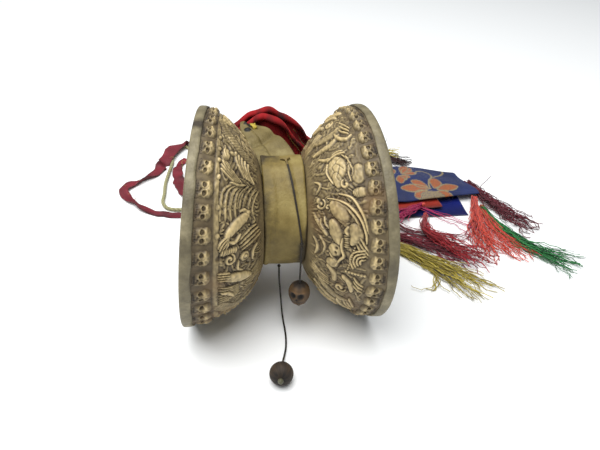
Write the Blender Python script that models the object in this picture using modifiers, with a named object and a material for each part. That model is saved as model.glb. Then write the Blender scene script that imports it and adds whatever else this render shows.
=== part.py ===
"""Damaru: a two-headed ritual hand drum with two striker beads and a silk banner tail.

Metres, +Z up. The drum lies on its two rims with its axis along X, the striker side
faces -Y, and the tail and the cords lie on the same surface behind it. Every shape is
first made in the drum's own frame, whose origin is on the ground under the waist, and
place_on_ground_centre() then moves the whole object over the middle of its footprint.
"""
import math

import bmesh
import bpy
from mathutils import Vector

# Bowls and drumheads
HEAD_RADIUS = 0.075
HEAD_SPACING = 0.1214
SKIN = 0.001
SKIN_FOLD = 0.0067
BOWL_WALL = 0.005
BOWL_CURVE = 1.9
BOWL_FULLNESS = 0.8
BOWL_SHOULDER = 0.001
LEFT_LEAN = (math.radians(5.6), math.radians(3.8))
RIGHT_LEAN = (math.radians(3.7), math.radians(1.6))
ROUND_SEGMENTS = 40
OUTER_RINGS = 12
INNER_RINGS = 6

# Waist
BELT_RADIUS = 0.035
BELT_WIDTH = 0.028
LEATHER = 0.0022
LAP_RISE = 0.0068
LAP_END_DEG = -14.0
LAP_FOOT_DEG = 60.0
BELT_TAIL_DEG = 325.0
TAB_INSET = 0.003
TAB_TIP = 0.012
SLOT_SIZE = (0.011, 0.0045)
GASKET = 0.001
DOWEL_RADIUS = 0.0057
WASHER_RADIUS = 0.011
WASHER = 0.0025
PIN_RADIUS = 0.0012
NECK_DEPTH = 0.020

# Strikers
CORD_RADIUS = 0.00065
HITCH_RADIUS = 0.0012
FRONT_BEAD_RADIUS = 0.0079
FRONT_BEAD_LENGTH = 0.0145
SKULL_RADIUS = 0.0075
SKULL_LENGTH = 0.0165
BEAD_BORE = 0.0011
STOPPER_RADIUS = 0.0019
FRONT_HITCH_X = -0.0025
FRONT_HITCH_Y = -0.021
SKULL_HITCH_X = 0.0103
SKULL_DROP = 0.0415

# Soft goods
CLOTH = 0.0012
VELVET = 0.0024
RIBBON = 0.0009
RIBBON_WIDTH = 0.010
RIBBON_TAPER = 0.0075
RIBBON_END_WIDTHS = (0.006, 0.008)
TIE_WIDTH = 0.007
OLIVE_RADIUS = 0.0017
TASSEL = 0.0038
THIN_TASSEL = 0.00266
TAIL_RADIUS = 0.075  # the rim radius for which the tail's routes below are written

GAP = 0.0003

HALF = HEAD_SPACING / 2
AXIS_HEIGHT = HEAD_RADIUS
BOWL_RADIUS = HEAD_RADIUS - SKIN - GAP
RIM = HALF - SKIN - GAP
SHOULDER = BELT_WIDTH / 2 + GAP
SHOULDER_RADIUS = BELT_RADIUS + BOWL_SHOULDER
NECK_RADIUS = BELT_RADIUS - LEATHER - GAP
BORE_RADIUS = DOWEL_RADIUS + GAP
BELT_MIDDLE = BELT_RADIUS - LEATHER / 2

TAB_WIDTH = BELT_WIDTH - 2 * TAB_INSET
BOWL_DEPTH = BOWL_RADIUS - NECK_RADIUS

# The tab under the belt's lap: x, degrees round the waist from the top towards the front, and
# the clearance under it. Lengths are in millimetres.
TAB_UNDER_LAP = [(1, 20.8, 0.2), (1, 10.25, 0.14), (1, -1.65, 1.1), (-1, -15.4, 4.05)]
# The tab that stands up behind: x, degrees, and how far it is from the neck to the rim
TAB_STANDING = [(-4, -29.5, 0.2694), (-9, -39.05, 0.494), (-15, -45.9, 0.705),
                (-19, -50.95, 0.8726)]
TAB_ACROSS = [(1, 0, 0), (1, 0, 0), (1, 0.1, 0), (0.93, 0.36, 0)]
SLOT_STOP = 6
# The yellow tie's route, measured from the middle of the tab's slot, millimetres
TIE_ROUTE = [(0.7, 1.2, -8.6), (0.1, 0.2, -2.6), (-0.2, 0.2, 2.4), (-1.6, 4.5, 5), (-3.6, 10.5, 4),
             (-4.9, 13.9, -0.6), (-4.6, 13.4, -6.6), (-2.5, 8, -11.2)]
# The other routes are in the drum's frame, millimetres
VELVET_INNER_ROUTE = [(-26, 67, 91), (-19, 65, 99), (-9, 63, 105), (3, 62, 102.5), (13, 63, 90),
                      (20, 66, 77), (26, 71, 68)]
VELVET_OUTER_ROUTE = [(-38, 77, 86), (-28, 76, 94), (-16, 76, 100), (-3, 76, 104), (9, 77, 99.5),
                      (21, 80, 86), (33, 90, 68), (44, 101, 54)]
BROCADE_ROUTE = [(50, 112, 50), (66, 124, 33), (84, 134, 20), (104, 141, 13.5), (127, 146, 11.5),
                 (150, 148, 11), (175, 146, 9.5), (202, 142, 8)]
LINING_ROUTE = [(88, 130, 5), (105, 131, 4.6), (125, 132, 4.4), (146, 132, 4.3), (166, 131, 4.2)]
NAVY_ROUTE = [(70, 116, 1.4), (90, 122, 1.2), (115, 127, 1.0), (140, 128, 1.0), (165, 128, 1.0),
              (189, 128, 1.0)]
RIBBON_ROUTE = [(-28, 84, 104), (-30, 94, 80), (-34, 108, 48), (-39, 128, 16), (-43, 145, 4), (-47, 166, 1.0),
                (-50, 195, 0.8), (-52, 225, 1.6), (-62, 246, 4.8), (-78, 247, 4.8),
                (-89, 233, 4.8), (-94, 218, 4.6), (-103, 194, 1.4), (-114, 178, 1.0),
                (-126, 168, 1.4), (-133, 157, 2.8), (-129, 145, 1.2), (-120, 133, 0.8),
                (-108, 121.5, 0.8), (-95, 114, 0.8), (-80, 111.5, 0.8), (-62, 112, 0.8)]
RIBBON_END_ROUTE = [(-76, 218, 0.9), (-80, 210, 0.9), (-84, 198, 0.9), (-83, 180, 0.9),
                    (-79, 160, 0.9), (-73, 142, 0.9)]
OLIVE_ROUTE = [(-33, 58, 117), (-42, 77, 112), (-50, 97, 86), (-58, 118, 52), (-62, 146, 20),
               (-63, 172, 4), (-64, 196, 1.9), (-66, 218, 1.9), (-71, 235, 1.9), (-79, 243, 1.9),
               (-86.5, 239, 1.9), (-90, 225, 1.9), (-90, 206, 1.9), (-92.5, 186, 1.9),
               (-94.5, 166, 1.9), (-94.5, 147, 1.9), (-95, 133, 1.9), (-90, 122.5, 1.9),
               (-79, 119.5, 1.9), (-66, 121, 1.9), (-57, 123, 5), (-51, 116, 22),
               (-46, 104, 48), (-41, 94, 74), (-38, 86, 96)]
FRONT_CORD_ROUTE = [(-2.2, -21, 34), (-1.4, -21.2, 24), (-0.4, -21.8, 13), (0.2, -24.5, 4.2),
                    (0.6, -31, 1.1), (0.9, -40, 0.9), (0.7, -49, 0.9), (-0.4, -58, 1.2),
                    (-2.4, -66, 2.0), (-4.2, -73, 3.9), (-5.2, -79, 5.85)]
BELT_CORD_DEGREES = (-3.0, 88.0)
BELT_CORD_X = (0.0024, SKULL_HITCH_X)
# Spacing of a cord's points, in cord radii
LONG_CORD_STEP = 4.6
FRONT_CORD_STEP = 4.4
SHORT_CORD_STEP = 6

# Each cloth leaf: route, widths, directions across it, thickness, finish, rows, columns
LEAVES = {
    "velvet_inner": (VELVET_INNER_ROUTE, [0.028, 0.030, 0.028],
                     [(0, 0.16, 0.98), (0, 0.2, 0.98), (-0.2, 0.4, 0.9)], VELVET, "velvet", 20, 3),
    "velvet_outer": (VELVET_OUTER_ROUTE, [0.030, 0.034, 0.034, 0.036],
                     [(0, 0.1, 0.98), (0, 0.15, 0.98), (-0.05, 0.2, 0.97), (-0.25, 0.5, 0.8)],
                     VELVET, "velvet", 24, 3),
    "brocade_banner": (BROCADE_ROUTE, [0.036, 0.050, 0.062, 0.064, 0.056, 0.042],
                       [(-0.3, 0.65, 0.7), (-0.2, 0.9, 0.25), (0, 0.99, -0.1), (0, 0.99, -0.12),
                        (-0.1, 0.98, -0.1), (-0.3, 0.95, -0.05)], CLOTH, "brocade", 28, 4),
    "red_lining": (LINING_ROUTE, [0.050, 0.056, 0.052], [(0, 1, 0), (0, 1, 0)], CLOTH, "lining",
                   12, 3),
    "navy_leaf": (NAVY_ROUTE, [0.050, 0.062, 0.066, 0.066, 0.064], [(0, 1, 0), (0, 1, 0)], CLOTH,
                  "navy", 14, 3),
    "wrist_ribbon": (RIBBON_ROUTE, [RIBBON_WIDTH, RIBBON_WIDTH, RIBBON_TAPER], None, RIBBON,
                     "crimson", 72, 2),
    "ribbon_end": (RIBBON_END_ROUTE, RIBBON_END_WIDTHS, None, RIBBON, "crimson", 18, 2),
}

# Each tassel: route, width at its head, width at its tips
TASSELS = {
    "maroon_fringe": ([(215, 150, 3.5), (220, 126, 3), (229, 102, 2.6), (239, 80, 2.4),
                       (246, 60, 2.2)], 0.011, 0.014),
    "coral_tassel": ([(206, 112, 4.5), (200, 94, 3.4), (195, 74, 2.6), (192, 50, 2.3),
                      (190, 22, 2.2)], 0.007, 0.020),
    "green_tassel": ([(213, 99, 3.2), (214, 82, 2.6), (220, 62, 2.3), (231, 42, 2.2),
                      (248, 28, 2.2), (266, 16, 2.2)], 0.006, 0.020),
    "red_tassel": ([(145, 90, 3.6), (138, 76, 5.4), (139, 62, 7.8), (149, 48, 8),
                    (163, 32, 7.8), (177, 16, 7.2)], 0.006, 0.012),
    "magenta_tassel": ([(144, 104, 8.2), (135, 99, 7.8), (126, 94.5, 7.2), (117, 91, 5.6)],
                       0.005, 0.010),
    "dark_red_tassel": ([(86, 80, 2.6), (100, 70, 2.3), (116, 62, 2.3), (134, 52, 2.3),
                         (152, 38, 2.3), (168, 22, 2.2)], 0.006, 0.016),
    "yellow_tassel": ([(84, 66, 2.6), (98, 56, 2.3), (114, 43, 2.3), (130, 26, 2.3),
                       (147, 6, 2.2), (164, -20, 2.2)], 0.007, 0.018),
    "back_fringe": ([(118, 212, 2.4), (132, 206, 2.4), (146, 199, 2.4), (159, 191, 2.4)],
                    0.012, 0.015),
}

COLOURS = {
    "bone": ((0.50, 0.42, 0.29), 0.6),
    "rawhide": ((0.45, 0.40, 0.28), 0.65),
    "leather": ((0.48, 0.42, 0.24), 0.6),
    "wood": ((0.30, 0.19, 0.10), 0.55),
    "cord": ((0.10, 0.06, 0.03), 0.8),
    "bead": ((0.16, 0.10, 0.05), 0.5),
    "knot": ((0.55, 0.45, 0.28), 0.8),
    "olive": ((0.30, 0.28, 0.14), 0.85),
    "crimson": ((0.30, 0.03, 0.05), 0.6),
    "velvet": ((0.35, 0.01, 0.02), 0.95),
    "brocade": ((0.02, 0.06, 0.30), 0.5),
    "lining": ((0.50, 0.03, 0.02), 0.7),
    "navy": ((0.01, 0.02, 0.14), 0.6),
    "yellow": ((0.60, 0.45, 0.05), 0.7),
    "maroon_fringe": ((0.14, 0.01, 0.03), 0.7),
    "coral_tassel": ((0.70, 0.10, 0.05), 0.7),
    "green_tassel": ((0.02, 0.16, 0.04), 0.7),
    "red_tassel": ((0.45, 0.02, 0.02), 0.7),
    "magenta_tassel": ((0.40, 0.02, 0.14), 0.7),
    "dark_red_tassel": ((0.22, 0.01, 0.03), 0.7),
    "yellow_tassel": ((0.50, 0.38, 0.04), 0.7),
    "back_fringe": ((0.12, 0.02, 0.03), 0.7),
}


def clear_scene():
    for obj in list(bpy.data.objects):
        bpy.data.objects.remove(obj, do_unlink=True)


def new_collection(name):
    collection = bpy.data.collections.new(name)
    bpy.context.scene.collection.children.link(collection)
    return collection


def material_for(name, finish):
    colour, roughness = COLOURS[finish]
    material = bpy.data.materials.new(name)
    material.use_nodes = True
    shader = material.node_tree.nodes["Principled BSDF"]
    shader.inputs["Base Color"].default_value = (*colour, 1.0)
    shader.inputs["Roughness"].default_value = roughness
    shader.inputs["Metallic"].default_value = 0.0
    return material


def add_object(name, mesh, finish):
    """A mesh becomes a named part of the drum with its own material."""
    obj = bpy.data.objects.new(name, mesh)
    PARTS.objects.link(obj)
    obj.parent = ROOT
    mesh.materials.clear()
    mesh.materials.append(material_for(name, finish))
    return obj


def tidy(mesh):
    """Merge doubles, turn every face outwards and shade round sides smooth."""
    bm = bmesh.new()
    bm.from_mesh(mesh)
    bmesh.ops.remove_doubles(bm, verts=bm.verts, dist=1e-6)
    bmesh.ops.recalc_face_normals(bm, faces=bm.faces)
    bm.to_mesh(mesh)
    bm.free()
    mesh.shade_smooth()
    mesh.set_sharp_from_angle(angle=math.radians(35))


def evaluated_mesh(obj):
    bpy.context.view_layer.update()
    graph = bpy.context.evaluated_depsgraph_get()
    mesh = bpy.data.meshes.new_from_object(obj.evaluated_get(graph))
    return mesh


def turned_mesh(profile, closed, segments=ROUND_SEGMENTS):
    """A profile of (height, radius) points turned about Z, outer side from top to bottom."""
    bm = bmesh.new()
    points = [bm.verts.new((radius, 0, height)) for height, radius in profile]
    for first, second in zip(points, points[1:]):
        bm.edges.new((first, second))
    if closed:
        bm.edges.new((points[-1], points[0]))
    outline = bpy.data.meshes.new("outline")
    bm.to_mesh(outline)
    bm.free()
    turning = bpy.data.objects.new("turning", outline)
    bpy.context.scene.collection.objects.link(turning)
    screw = turning.modifiers.new("turn", "SCREW")
    screw.steps = segments
    screw.render_steps = segments
    screw.use_merge_vertices = True
    screw.merge_threshold = 1e-5
    mesh = evaluated_mesh(turning)
    bpy.data.objects.remove(turning, do_unlink=True)
    return mesh


def smooth_points(route, count):
    """Points along a Catmull-Rom curve through a route given in millimetres."""
    knots = [Vector(point) / 1000 for point in route]
    first = knots[0] * 2 - knots[1]
    last = knots[-1] * 2 - knots[-2]
    knots = [first, *knots, last]
    spans = len(knots) - 3
    points = []
    for step in range(count):
        place = step / (count - 1) * spans
        index = min(int(place), spans - 1)
        t = place - index
        a, b, c, d = knots[index:index + 4]
        points.append(0.5 * (2 * b + (c - a) * t + (2 * a - 5 * b + 4 * c - d) * t ** 2
                             + (3 * b - a - 3 * c + d) * t ** 3))
    return points


def even_points(route, spacing):
    """The smooth curve through a route, with its points a set distance apart."""
    fine = smooth_points(route, 40 * len(route))
    lengths = [0.0]
    for first, second in zip(fine, fine[1:]):
        lengths.append(lengths[-1] + (second - first).length)
    count = max(2, round(lengths[-1] / spacing) + 1)
    points = []
    index = 0
    for step in range(count):
        wanted = lengths[-1] * step / (count - 1)
        while index < len(fine) - 2 and lengths[index + 1] < wanted:
            index += 1
        share = (wanted - lengths[index]) / (lengths[index + 1] - lengths[index])
        points.append(fine[index].lerp(fine[index + 1], share))
    return points


def cord_object(name, points, radius, finish):
    """A round cord: a poly curve with a bevel and closed ends."""
    curve = bpy.data.curves.new(name, "CURVE")
    curve.dimensions = "3D"
    curve.bevel_depth = radius
    curve.bevel_resolution = 2
    curve.use_fill_caps = True
    spline = curve.splines.new("POLY")
    spline.points.add(len(points) - 1)
    for target, point in zip(spline.points, points):
        target.co = (*point, 1.0)
    obj = bpy.data.objects.new(name, curve)
    PARTS.objects.link(obj)
    obj.parent = ROOT
    curve.materials.append(material_for(name, finish))
    return obj


def interpolate(values, share):
    """The value at a share of the way along a list of numbers or vectors."""
    place = share * (len(values) - 1)
    index = min(int(place), len(values) - 2)
    t = place - index
    return values[index] * (1 - t) + values[index + 1] * t


def band_object(name, route, widths, thickness, finish, across=None, rows=24, columns=4):
    """A strip of cloth or leather along a route: a grid bent to shape, then Solidify."""
    centre = smooth_points(route, rows + 1)
    bm = bmesh.new()
    bmesh.ops.create_grid(bm, x_segments=rows, y_segments=columns, size=1)
    for vert in bm.verts:
        share = (vert.co.x + 1) / 2
        index = round(share * rows)
        ahead = centre[min(index + 1, rows)] - centre[max(index - 1, 0)]
        side = Vector((-ahead.y, ahead.x, 0))
        if across:
            side = interpolate([Vector(direction) for direction in across], share)
        side.normalize()
        half = interpolate(widths, share) / 2
        vert.co = centre[index] + side * vert.co.y * half
    mesh = bpy.data.meshes.new(name)
    bm.to_mesh(mesh)
    bm.free()
    mesh.shade_smooth()
    obj = add_object(name, mesh, finish)
    wall = obj.modifiers.new("thickness", "SOLIDIFY")
    wall.thickness = thickness
    wall.offset = 0
    return obj


def bowl_radius(distance):
    """Outer radius of a bowl at a distance from the waist's middle plane."""
    share = (RIM - distance) / (RIM - SHOULDER)
    spread = max(0.0, 1 - share ** BOWL_CURVE) ** BOWL_FULLNESS
    return SHOULDER_RADIUS + (BOWL_RADIUS - SHOULDER_RADIUS) * spread


def bowl_profile():
    """Rim, outside curve, neck, bore and hollow, as (distance from the waist, radius)."""
    outer = []
    for ring in range(OUTER_RINGS + 1):
        distance = RIM + (SHOULDER - RIM) * ring / OUTER_RINGS
        outer.append((distance, bowl_radius(distance)))
    neck = [(SHOULDER, NECK_RADIUS), (GASKET / 2 + GAP, NECK_RADIUS)]
    bore = [(GASKET / 2 + GAP, BORE_RADIUS), (NECK_DEPTH, BORE_RADIUS)]
    floor = NECK_DEPTH + BOWL_WALL
    inner = [(NECK_DEPTH, bowl_radius(NECK_DEPTH) - 3 * BOWL_WALL)]
    for ring in range(INNER_RINGS + 1):
        distance = floor + (RIM - floor) * ring / INNER_RINGS
        inner.append((distance, bowl_radius(distance) - BOWL_WALL))
    return outer + neck + bore + inner


def drumhead_profile():
    """A flat membrane with its edge folded down the outside of the rim."""
    return [(HALF, 0), (HALF, HEAD_RADIUS - SKIN), (HALF - SKIN / 3, HEAD_RADIUS - SKIN / 3),
            (HALF - SKIN, HEAD_RADIUS), (HALF - SKIN_FOLD, HEAD_RADIUS),
            (HALF - SKIN_FOLD, HEAD_RADIUS - SKIN), (HALF - SKIN, HEAD_RADIUS - SKIN),
            (HALF - SKIN, 0)]


def ease(share):
    """0 to 1 with a soft start and a soft end."""
    share = min(max(share, 0.0), 1.0)
    return share * share * (3 - 2 * share)


def lay_along_axis(mesh, side, lean=(0.0, 0.0)):
    """Turn a mesh from +Z to the drum's axis on one side, and lean its rim back and up."""
    for vert in mesh.vertices:
        distance, across, up = vert.co.z, vert.co.x, vert.co.y
        share = ease((distance - NECK_DEPTH - WASHER) / (RIM - NECK_DEPTH - WASHER))
        distance -= share * (lean[0] * across + lean[1] * up)
        vert.co = (side * distance, across, AXIS_HEIGHT + up)
    tidy(mesh)


def build_shells():
    for name, side, lean in (("left", -1, LEFT_LEAN), ("right", 1, RIGHT_LEAN)):
        bowl = turned_mesh(bowl_profile(), closed=True)
        lay_along_axis(bowl, side, lean)
        add_object(name + "_bowl", bowl, "bone")
        head = turned_mesh(drumhead_profile(), closed=False)
        lay_along_axis(head, side, lean)
        add_object(name + "_drumhead", head, "rawhide")


def ring_profile(low, high, inner, outer):
    return [(high, inner), (high, outer), (low, outer), (low, inner)]


def pin_mesh(radius, length, segments=16):
    """A plain round pin along Z."""
    bm = bmesh.new()
    bmesh.ops.create_cone(bm, cap_ends=True, segments=segments, radius1=radius,
                          radius2=radius, depth=length)
    mesh = bpy.data.meshes.new("pin")
    bm.to_mesh(mesh)
    bm.free()
    return mesh


def cut(obj, cutter):
    """Boolean difference that stays on the object; the cutter is kept out of the render."""
    cutter.hide_render = True
    cutter.display_type = "WIRE"
    CUTTERS.objects.link(cutter)
    cutter.parent = ROOT
    boolean = obj.modifiers.new("cut_" + cutter.name, "BOOLEAN")
    boolean.operation = "DIFFERENCE"
    boolean.object = cutter


def build_joint_hardware():
    """The hidden dowel that ties the two bowls neck to neck, with its washers and pins."""
    gasket = turned_mesh(ring_profile(-GASKET / 2, GASKET / 2, BORE_RADIUS, NECK_RADIUS),
                         closed=True)
    lay_along_axis(gasket, 1)
    add_object("neck_gasket", gasket, "leather")
    washer_foot = NECK_DEPTH + GAP
    pin_place = washer_foot + WASHER + GAP + PIN_RADIUS
    dowel_end = pin_place + 3 * PIN_RADIUS
    dowel = turned_mesh([(dowel_end, 0), (dowel_end, DOWEL_RADIUS), (-dowel_end, DOWEL_RADIUS),
                         (-dowel_end, 0)], closed=False, segments=24)
    lay_along_axis(dowel, 1)
    dowel = add_object("joining_dowel", dowel, "wood")
    for name, side in (("left", -1), ("right", 1)):
        washer = turned_mesh(ring_profile(washer_foot, washer_foot + WASHER, BORE_RADIUS,
                                          WASHER_RADIUS), closed=True, segments=24)
        lay_along_axis(washer, side)
        add_object(name + "_dowel_washer", washer, "wood")
        place = (side * pin_place, 0, AXIS_HEIGHT)
        pin = add_object(name + "_dowel_pin", pin_mesh(PIN_RADIUS, 2 * WASHER_RADIUS), "wood")
        pin.location = place
        hole = bpy.data.objects.new(name + "_pin_hole",
                                    pin_mesh(PIN_RADIUS + GAP, 3 * DOWEL_RADIUS))
        hole.location = place
        cut(dowel, hole)


def belt_ring_radius(degrees):
    """The belt lies on the necks, and rises over the tab towards its cut end on top."""
    share = (LAP_FOOT_DEG - degrees) / (LAP_FOOT_DEG - LAP_END_DEG)
    return BELT_MIDDLE + LAP_RISE * ease(share)


def round_waist(degrees, radius, x):
    """A point round the waist, its angle measured from the top towards the front."""
    angle = math.radians(degrees)
    return Vector((x, -radius * math.sin(angle), AXIS_HEIGHT + radius * math.cos(angle)))


def build_belt():
    """The wide leather belt: one strap from its cut end round the front, under and up the back."""
    steps = 40
    bm = bmesh.new()
    bmesh.ops.create_grid(bm, x_segments=steps, y_segments=2, size=1)
    for vert in bm.verts:
        degrees = LAP_END_DEG + (vert.co.x + 1) / 2 * (BELT_TAIL_DEG - LAP_END_DEG)
        vert.co = round_waist(degrees, belt_ring_radius(degrees), vert.co.y * BELT_WIDTH / 2)
    mesh = bpy.data.meshes.new("waist_belt")
    bm.to_mesh(mesh)
    bm.free()
    mesh.shade_smooth()
    belt = add_object("waist_belt", mesh, "leather")
    wall = belt.modifiers.new("thickness", "SOLIDIFY")
    wall.thickness = LEATHER
    wall.offset = 0


def build_tab():
    """The leather tab under the belt's lap, which stands up behind and carries the tail."""
    lying = NECK_RADIUS + LEATHER / 2
    route = [tuple(round_waist(degrees, lying + rise / 1000, x / 1000) * 1000)
             for x, degrees, rise in TAB_UNDER_LAP]
    route += [tuple(round_waist(degrees, lying + share * BOWL_DEPTH, x / 1000) * 1000)
              for x, degrees, share in TAB_STANDING]
    widths = [TAB_WIDTH] * (len(route) - 1) + [TAB_TIP]
    tab = band_object("belt_tab", route, widths, LEATHER, "leather", TAB_ACROSS, rows=21)
    bm = bmesh.new()
    bmesh.ops.create_cube(bm, size=1)
    bmesh.ops.scale(bm, verts=bm.verts, vec=(SLOT_SIZE[0], SLOT_SIZE[1], 6 * LEATHER))
    mesh = bpy.data.meshes.new("slot")
    bm.to_mesh(mesh)
    bm.free()
    slot = bpy.data.objects.new("tab_slot", mesh)
    middle = Vector(route[SLOT_STOP])
    slot.location = middle / 1000
    slot.rotation_euler = (0, 0, math.atan2(TAB_ACROSS[-1][1], TAB_ACROSS[-1][0]))
    cut(tab, slot)
    tie_route = [tuple(middle + Vector(offset)) for offset in TIE_ROUTE]
    band_object("tail_tie", tie_route, [TIE_WIDTH, TIE_WIDTH], RIBBON, "yellow",
                [TAB_ACROSS[-1]] * 2, rows=20, columns=2)


def ball(name, radius, place, finish):
    """A small round knot."""
    bm = bmesh.new()
    bmesh.ops.create_uvsphere(bm, u_segments=14, v_segments=8, radius=radius)
    mesh = bpy.data.meshes.new(name)
    bm.to_mesh(mesh)
    bm.free()
    mesh.shade_smooth()
    obj = add_object(name, mesh, finish)
    obj.location = place
    return obj


def bead_profile(radius, length, crown=1.0):
    """A bored bead; crown above 1 makes the upper half fuller than the lower."""
    points = []
    steps = 10
    start = math.asin(BEAD_BORE / radius)
    for step in range(steps + 1):
        angle = start + (math.pi - 2 * start) * step / steps
        fullness = crown if angle < math.pi / 2 else 1.0
        spread = math.sin(angle) ** (1 / fullness)
        points.append((length / 2 * math.cos(angle) / math.cos(start),
                       max(BEAD_BORE * 1.4, radius * spread)))
    return points + [(-length / 2, BEAD_BORE), (length / 2, BEAD_BORE)]


def turn_to(obj, direction):
    """Point an object's own Z along a direction."""
    obj.rotation_euler = Vector(direction).to_track_quat("Z", "Y").to_euler()


def build_front_striker():
    """The striker that lies in front: hitch under the belt, cord, bead and its stopper."""
    reach = BELT_RADIUS + GAP + HITCH_RADIUS
    drop = math.sqrt(reach ** 2 - FRONT_HITCH_Y ** 2)
    hitch = Vector((FRONT_HITCH_X, FRONT_HITCH_Y, AXIS_HEIGHT - drop))
    ball("front_cord_hitch", HITCH_RADIUS, hitch, "cord")
    first = (hitch - Vector((0, 0, HITCH_RADIUS + GAP))) * 1000
    end = Vector(FRONT_CORD_ROUTE[-1]) / 1000
    line = (end - Vector(FRONT_CORD_ROUTE[-2]) / 1000).normalized()
    inside = end + line * (FRONT_BEAD_LENGTH + GAP)
    route = [tuple(first), *FRONT_CORD_ROUTE, tuple(inside * 1000)]
    points = even_points(route, FRONT_CORD_STEP * CORD_RADIUS)
    cord_object("front_striker_cord", points, CORD_RADIUS, "cord")
    middle = end + line * (GAP + FRONT_BEAD_LENGTH / 2)
    mesh = turned_mesh(bead_profile(FRONT_BEAD_RADIUS, FRONT_BEAD_LENGTH), closed=True,
                       segments=24)
    tidy(mesh)
    bead = add_object("front_bead", mesh, "bead")
    bead.location = middle
    turn_to(bead, line)
    stopper_place = inside + line * (STOPPER_RADIUS + GAP)
    ball("front_bead_stopper", STOPPER_RADIUS, stopper_place, "knot")


def build_skull_striker():
    """The striker that hangs: hitch on the belt's front, plumb cord, skull bead, stopper."""
    depth = BELT_RADIUS + GAP + HITCH_RADIUS
    hitch = Vector((SKULL_HITCH_X, -depth, AXIS_HEIGHT))
    ball("skull_cord_hitch", HITCH_RADIUS, hitch, "cord")
    middle = hitch - Vector((0, 0, SKULL_DROP))
    top = hitch - Vector((0, 0, HITCH_RADIUS + GAP))
    low = middle - Vector((0, 0, SKULL_LENGTH / 2))
    points = even_points([tuple(top * 1000), tuple((top + low) * 500), tuple(low * 1000)],
                         SHORT_CORD_STEP * CORD_RADIUS)
    cord_object("skull_striker_cord", points, CORD_RADIUS, "cord")
    mesh = turned_mesh(bead_profile(SKULL_RADIUS, SKULL_LENGTH, crown=1.5), closed=True,
                       segments=24)
    tidy(mesh)
    bead = add_object("skull_bead", mesh, "bead")
    bead.location = middle
    ball("skull_bead_stopper", STOPPER_RADIUS,
         low - Vector((0, 0, STOPPER_RADIUS + GAP)), "knot")


def build_belt_cord():
    """The lacing knot on the lap and the cord that runs from it down the belt's front."""
    knot_radius = 2 * CORD_RADIUS + GAP
    start, end = BELT_CORD_DEGREES
    stand_off = LEATHER / 2 + GAP
    route = []
    steps = 12
    for step in range(steps + 1):
        share = step / steps
        degrees = start + (end - start) * share
        radius = belt_ring_radius(degrees) + stand_off + CORD_RADIUS
        x = BELT_CORD_X[0] + (BELT_CORD_X[1] - BELT_CORD_X[0]) * share
        route.append(tuple(round_waist(degrees, radius, x) * 1000))
    hitch = Vector((SKULL_HITCH_X, -(BELT_RADIUS + GAP + HITCH_RADIUS),
                    AXIS_HEIGHT + HITCH_RADIUS + GAP))
    route[-1] = tuple(hitch * 1000)
    cord_object("belt_cord", even_points(route, SHORT_CORD_STEP * CORD_RADIUS), CORD_RADIUS,
                "cord")
    reach = belt_ring_radius(start) + stand_off + knot_radius
    angle = start - math.degrees((knot_radius + CORD_RADIUS + GAP) / reach)
    ball("belt_knot", knot_radius, round_waist(angle, reach, BELT_CORD_X[0]), "cord")


def tail_route(route):
    """A tail route stretched back and up with the rims that it hangs behind."""
    stretch = HEAD_RADIUS / TAIL_RADIUS
    return [(x, y * stretch, z * stretch) for x, y, z in route]


def build_tail():
    """The velvet leaves, the banner's three leaves, the ribbons and the tassels."""
    for name, (route, widths, across, thickness, finish, rows, columns) in LEAVES.items():
        if finish == "velvet":  # it stands on edge, so its width is a height and stretches too
            widths = [width * HEAD_RADIUS / TAIL_RADIUS for width in widths]
        band_object(name, tail_route(route), widths, thickness, finish, across, rows, columns)
    for name, (route, head, tips) in TASSELS.items():
        thickness = THIN_TASSEL if name in ("magenta_tassel", "back_fringe") else TASSEL
        band_object(name, tail_route(route), [head, (head + tips) / 2, tips], thickness, name,
                    rows=12, columns=2)
    cord_object("hanging_cord", even_points(OLIVE_ROUTE, LONG_CORD_STEP * OLIVE_RADIUS),
                OLIVE_RADIUS, "olive")


def place_on_ground_centre(cords):
    """Move the object so that its origin is the middle of its base, cords left out."""
    bpy.context.view_layer.update()
    graph = bpy.context.evaluated_depsgraph_get()
    corners = []
    for obj in PARTS.objects:
        if obj.type == "EMPTY" or obj.name in cords:
            continue
        mesh = obj.evaluated_get(graph).to_mesh()
        corners += [obj.matrix_world @ vert.co for vert in mesh.vertices]
        obj.evaluated_get(graph).to_mesh_clear()
    low = Vector(min(corner[i] for corner in corners) for i in range(3))
    high = Vector(max(corner[i] for corner in corners) for i in range(3))
    middle = (low + high) / 2
    ROOT.location = (-middle.x, -middle.y, -low.z)
    bpy.context.view_layer.update()


clear_scene()
PARTS = new_collection("damaru")
CUTTERS = new_collection("cutters")
ROOT = bpy.data.objects.new("damaru", None)
PARTS.objects.link(ROOT)
build_shells()
build_joint_hardware()
build_belt()
build_tab()
build_belt_cord()
build_front_striker()
build_skull_striker()
build_tail()
place_on_ground_centre(("front_striker_cord", "skull_striker_cord", "belt_cord", "hanging_cord"))
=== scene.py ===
# %% [markdown]
# # A damaru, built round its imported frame
# A damaru is a small ritual drum with two heads. Two carved bowls meet neck to neck under a leather
# belt, each bowl has a rawhide head, and two beads on cords strike the heads when the wrist turns. A
# silk banner with tassels is tied to the belt. The frame gives the place of every part, so the script
# starts there and only ever adds looks. Lengths are metres unless a name says millimetres.

# %% Load the frame
import math

import bmesh
import bpy
import numpy as np
from mathutils import Matrix, Vector


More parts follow.
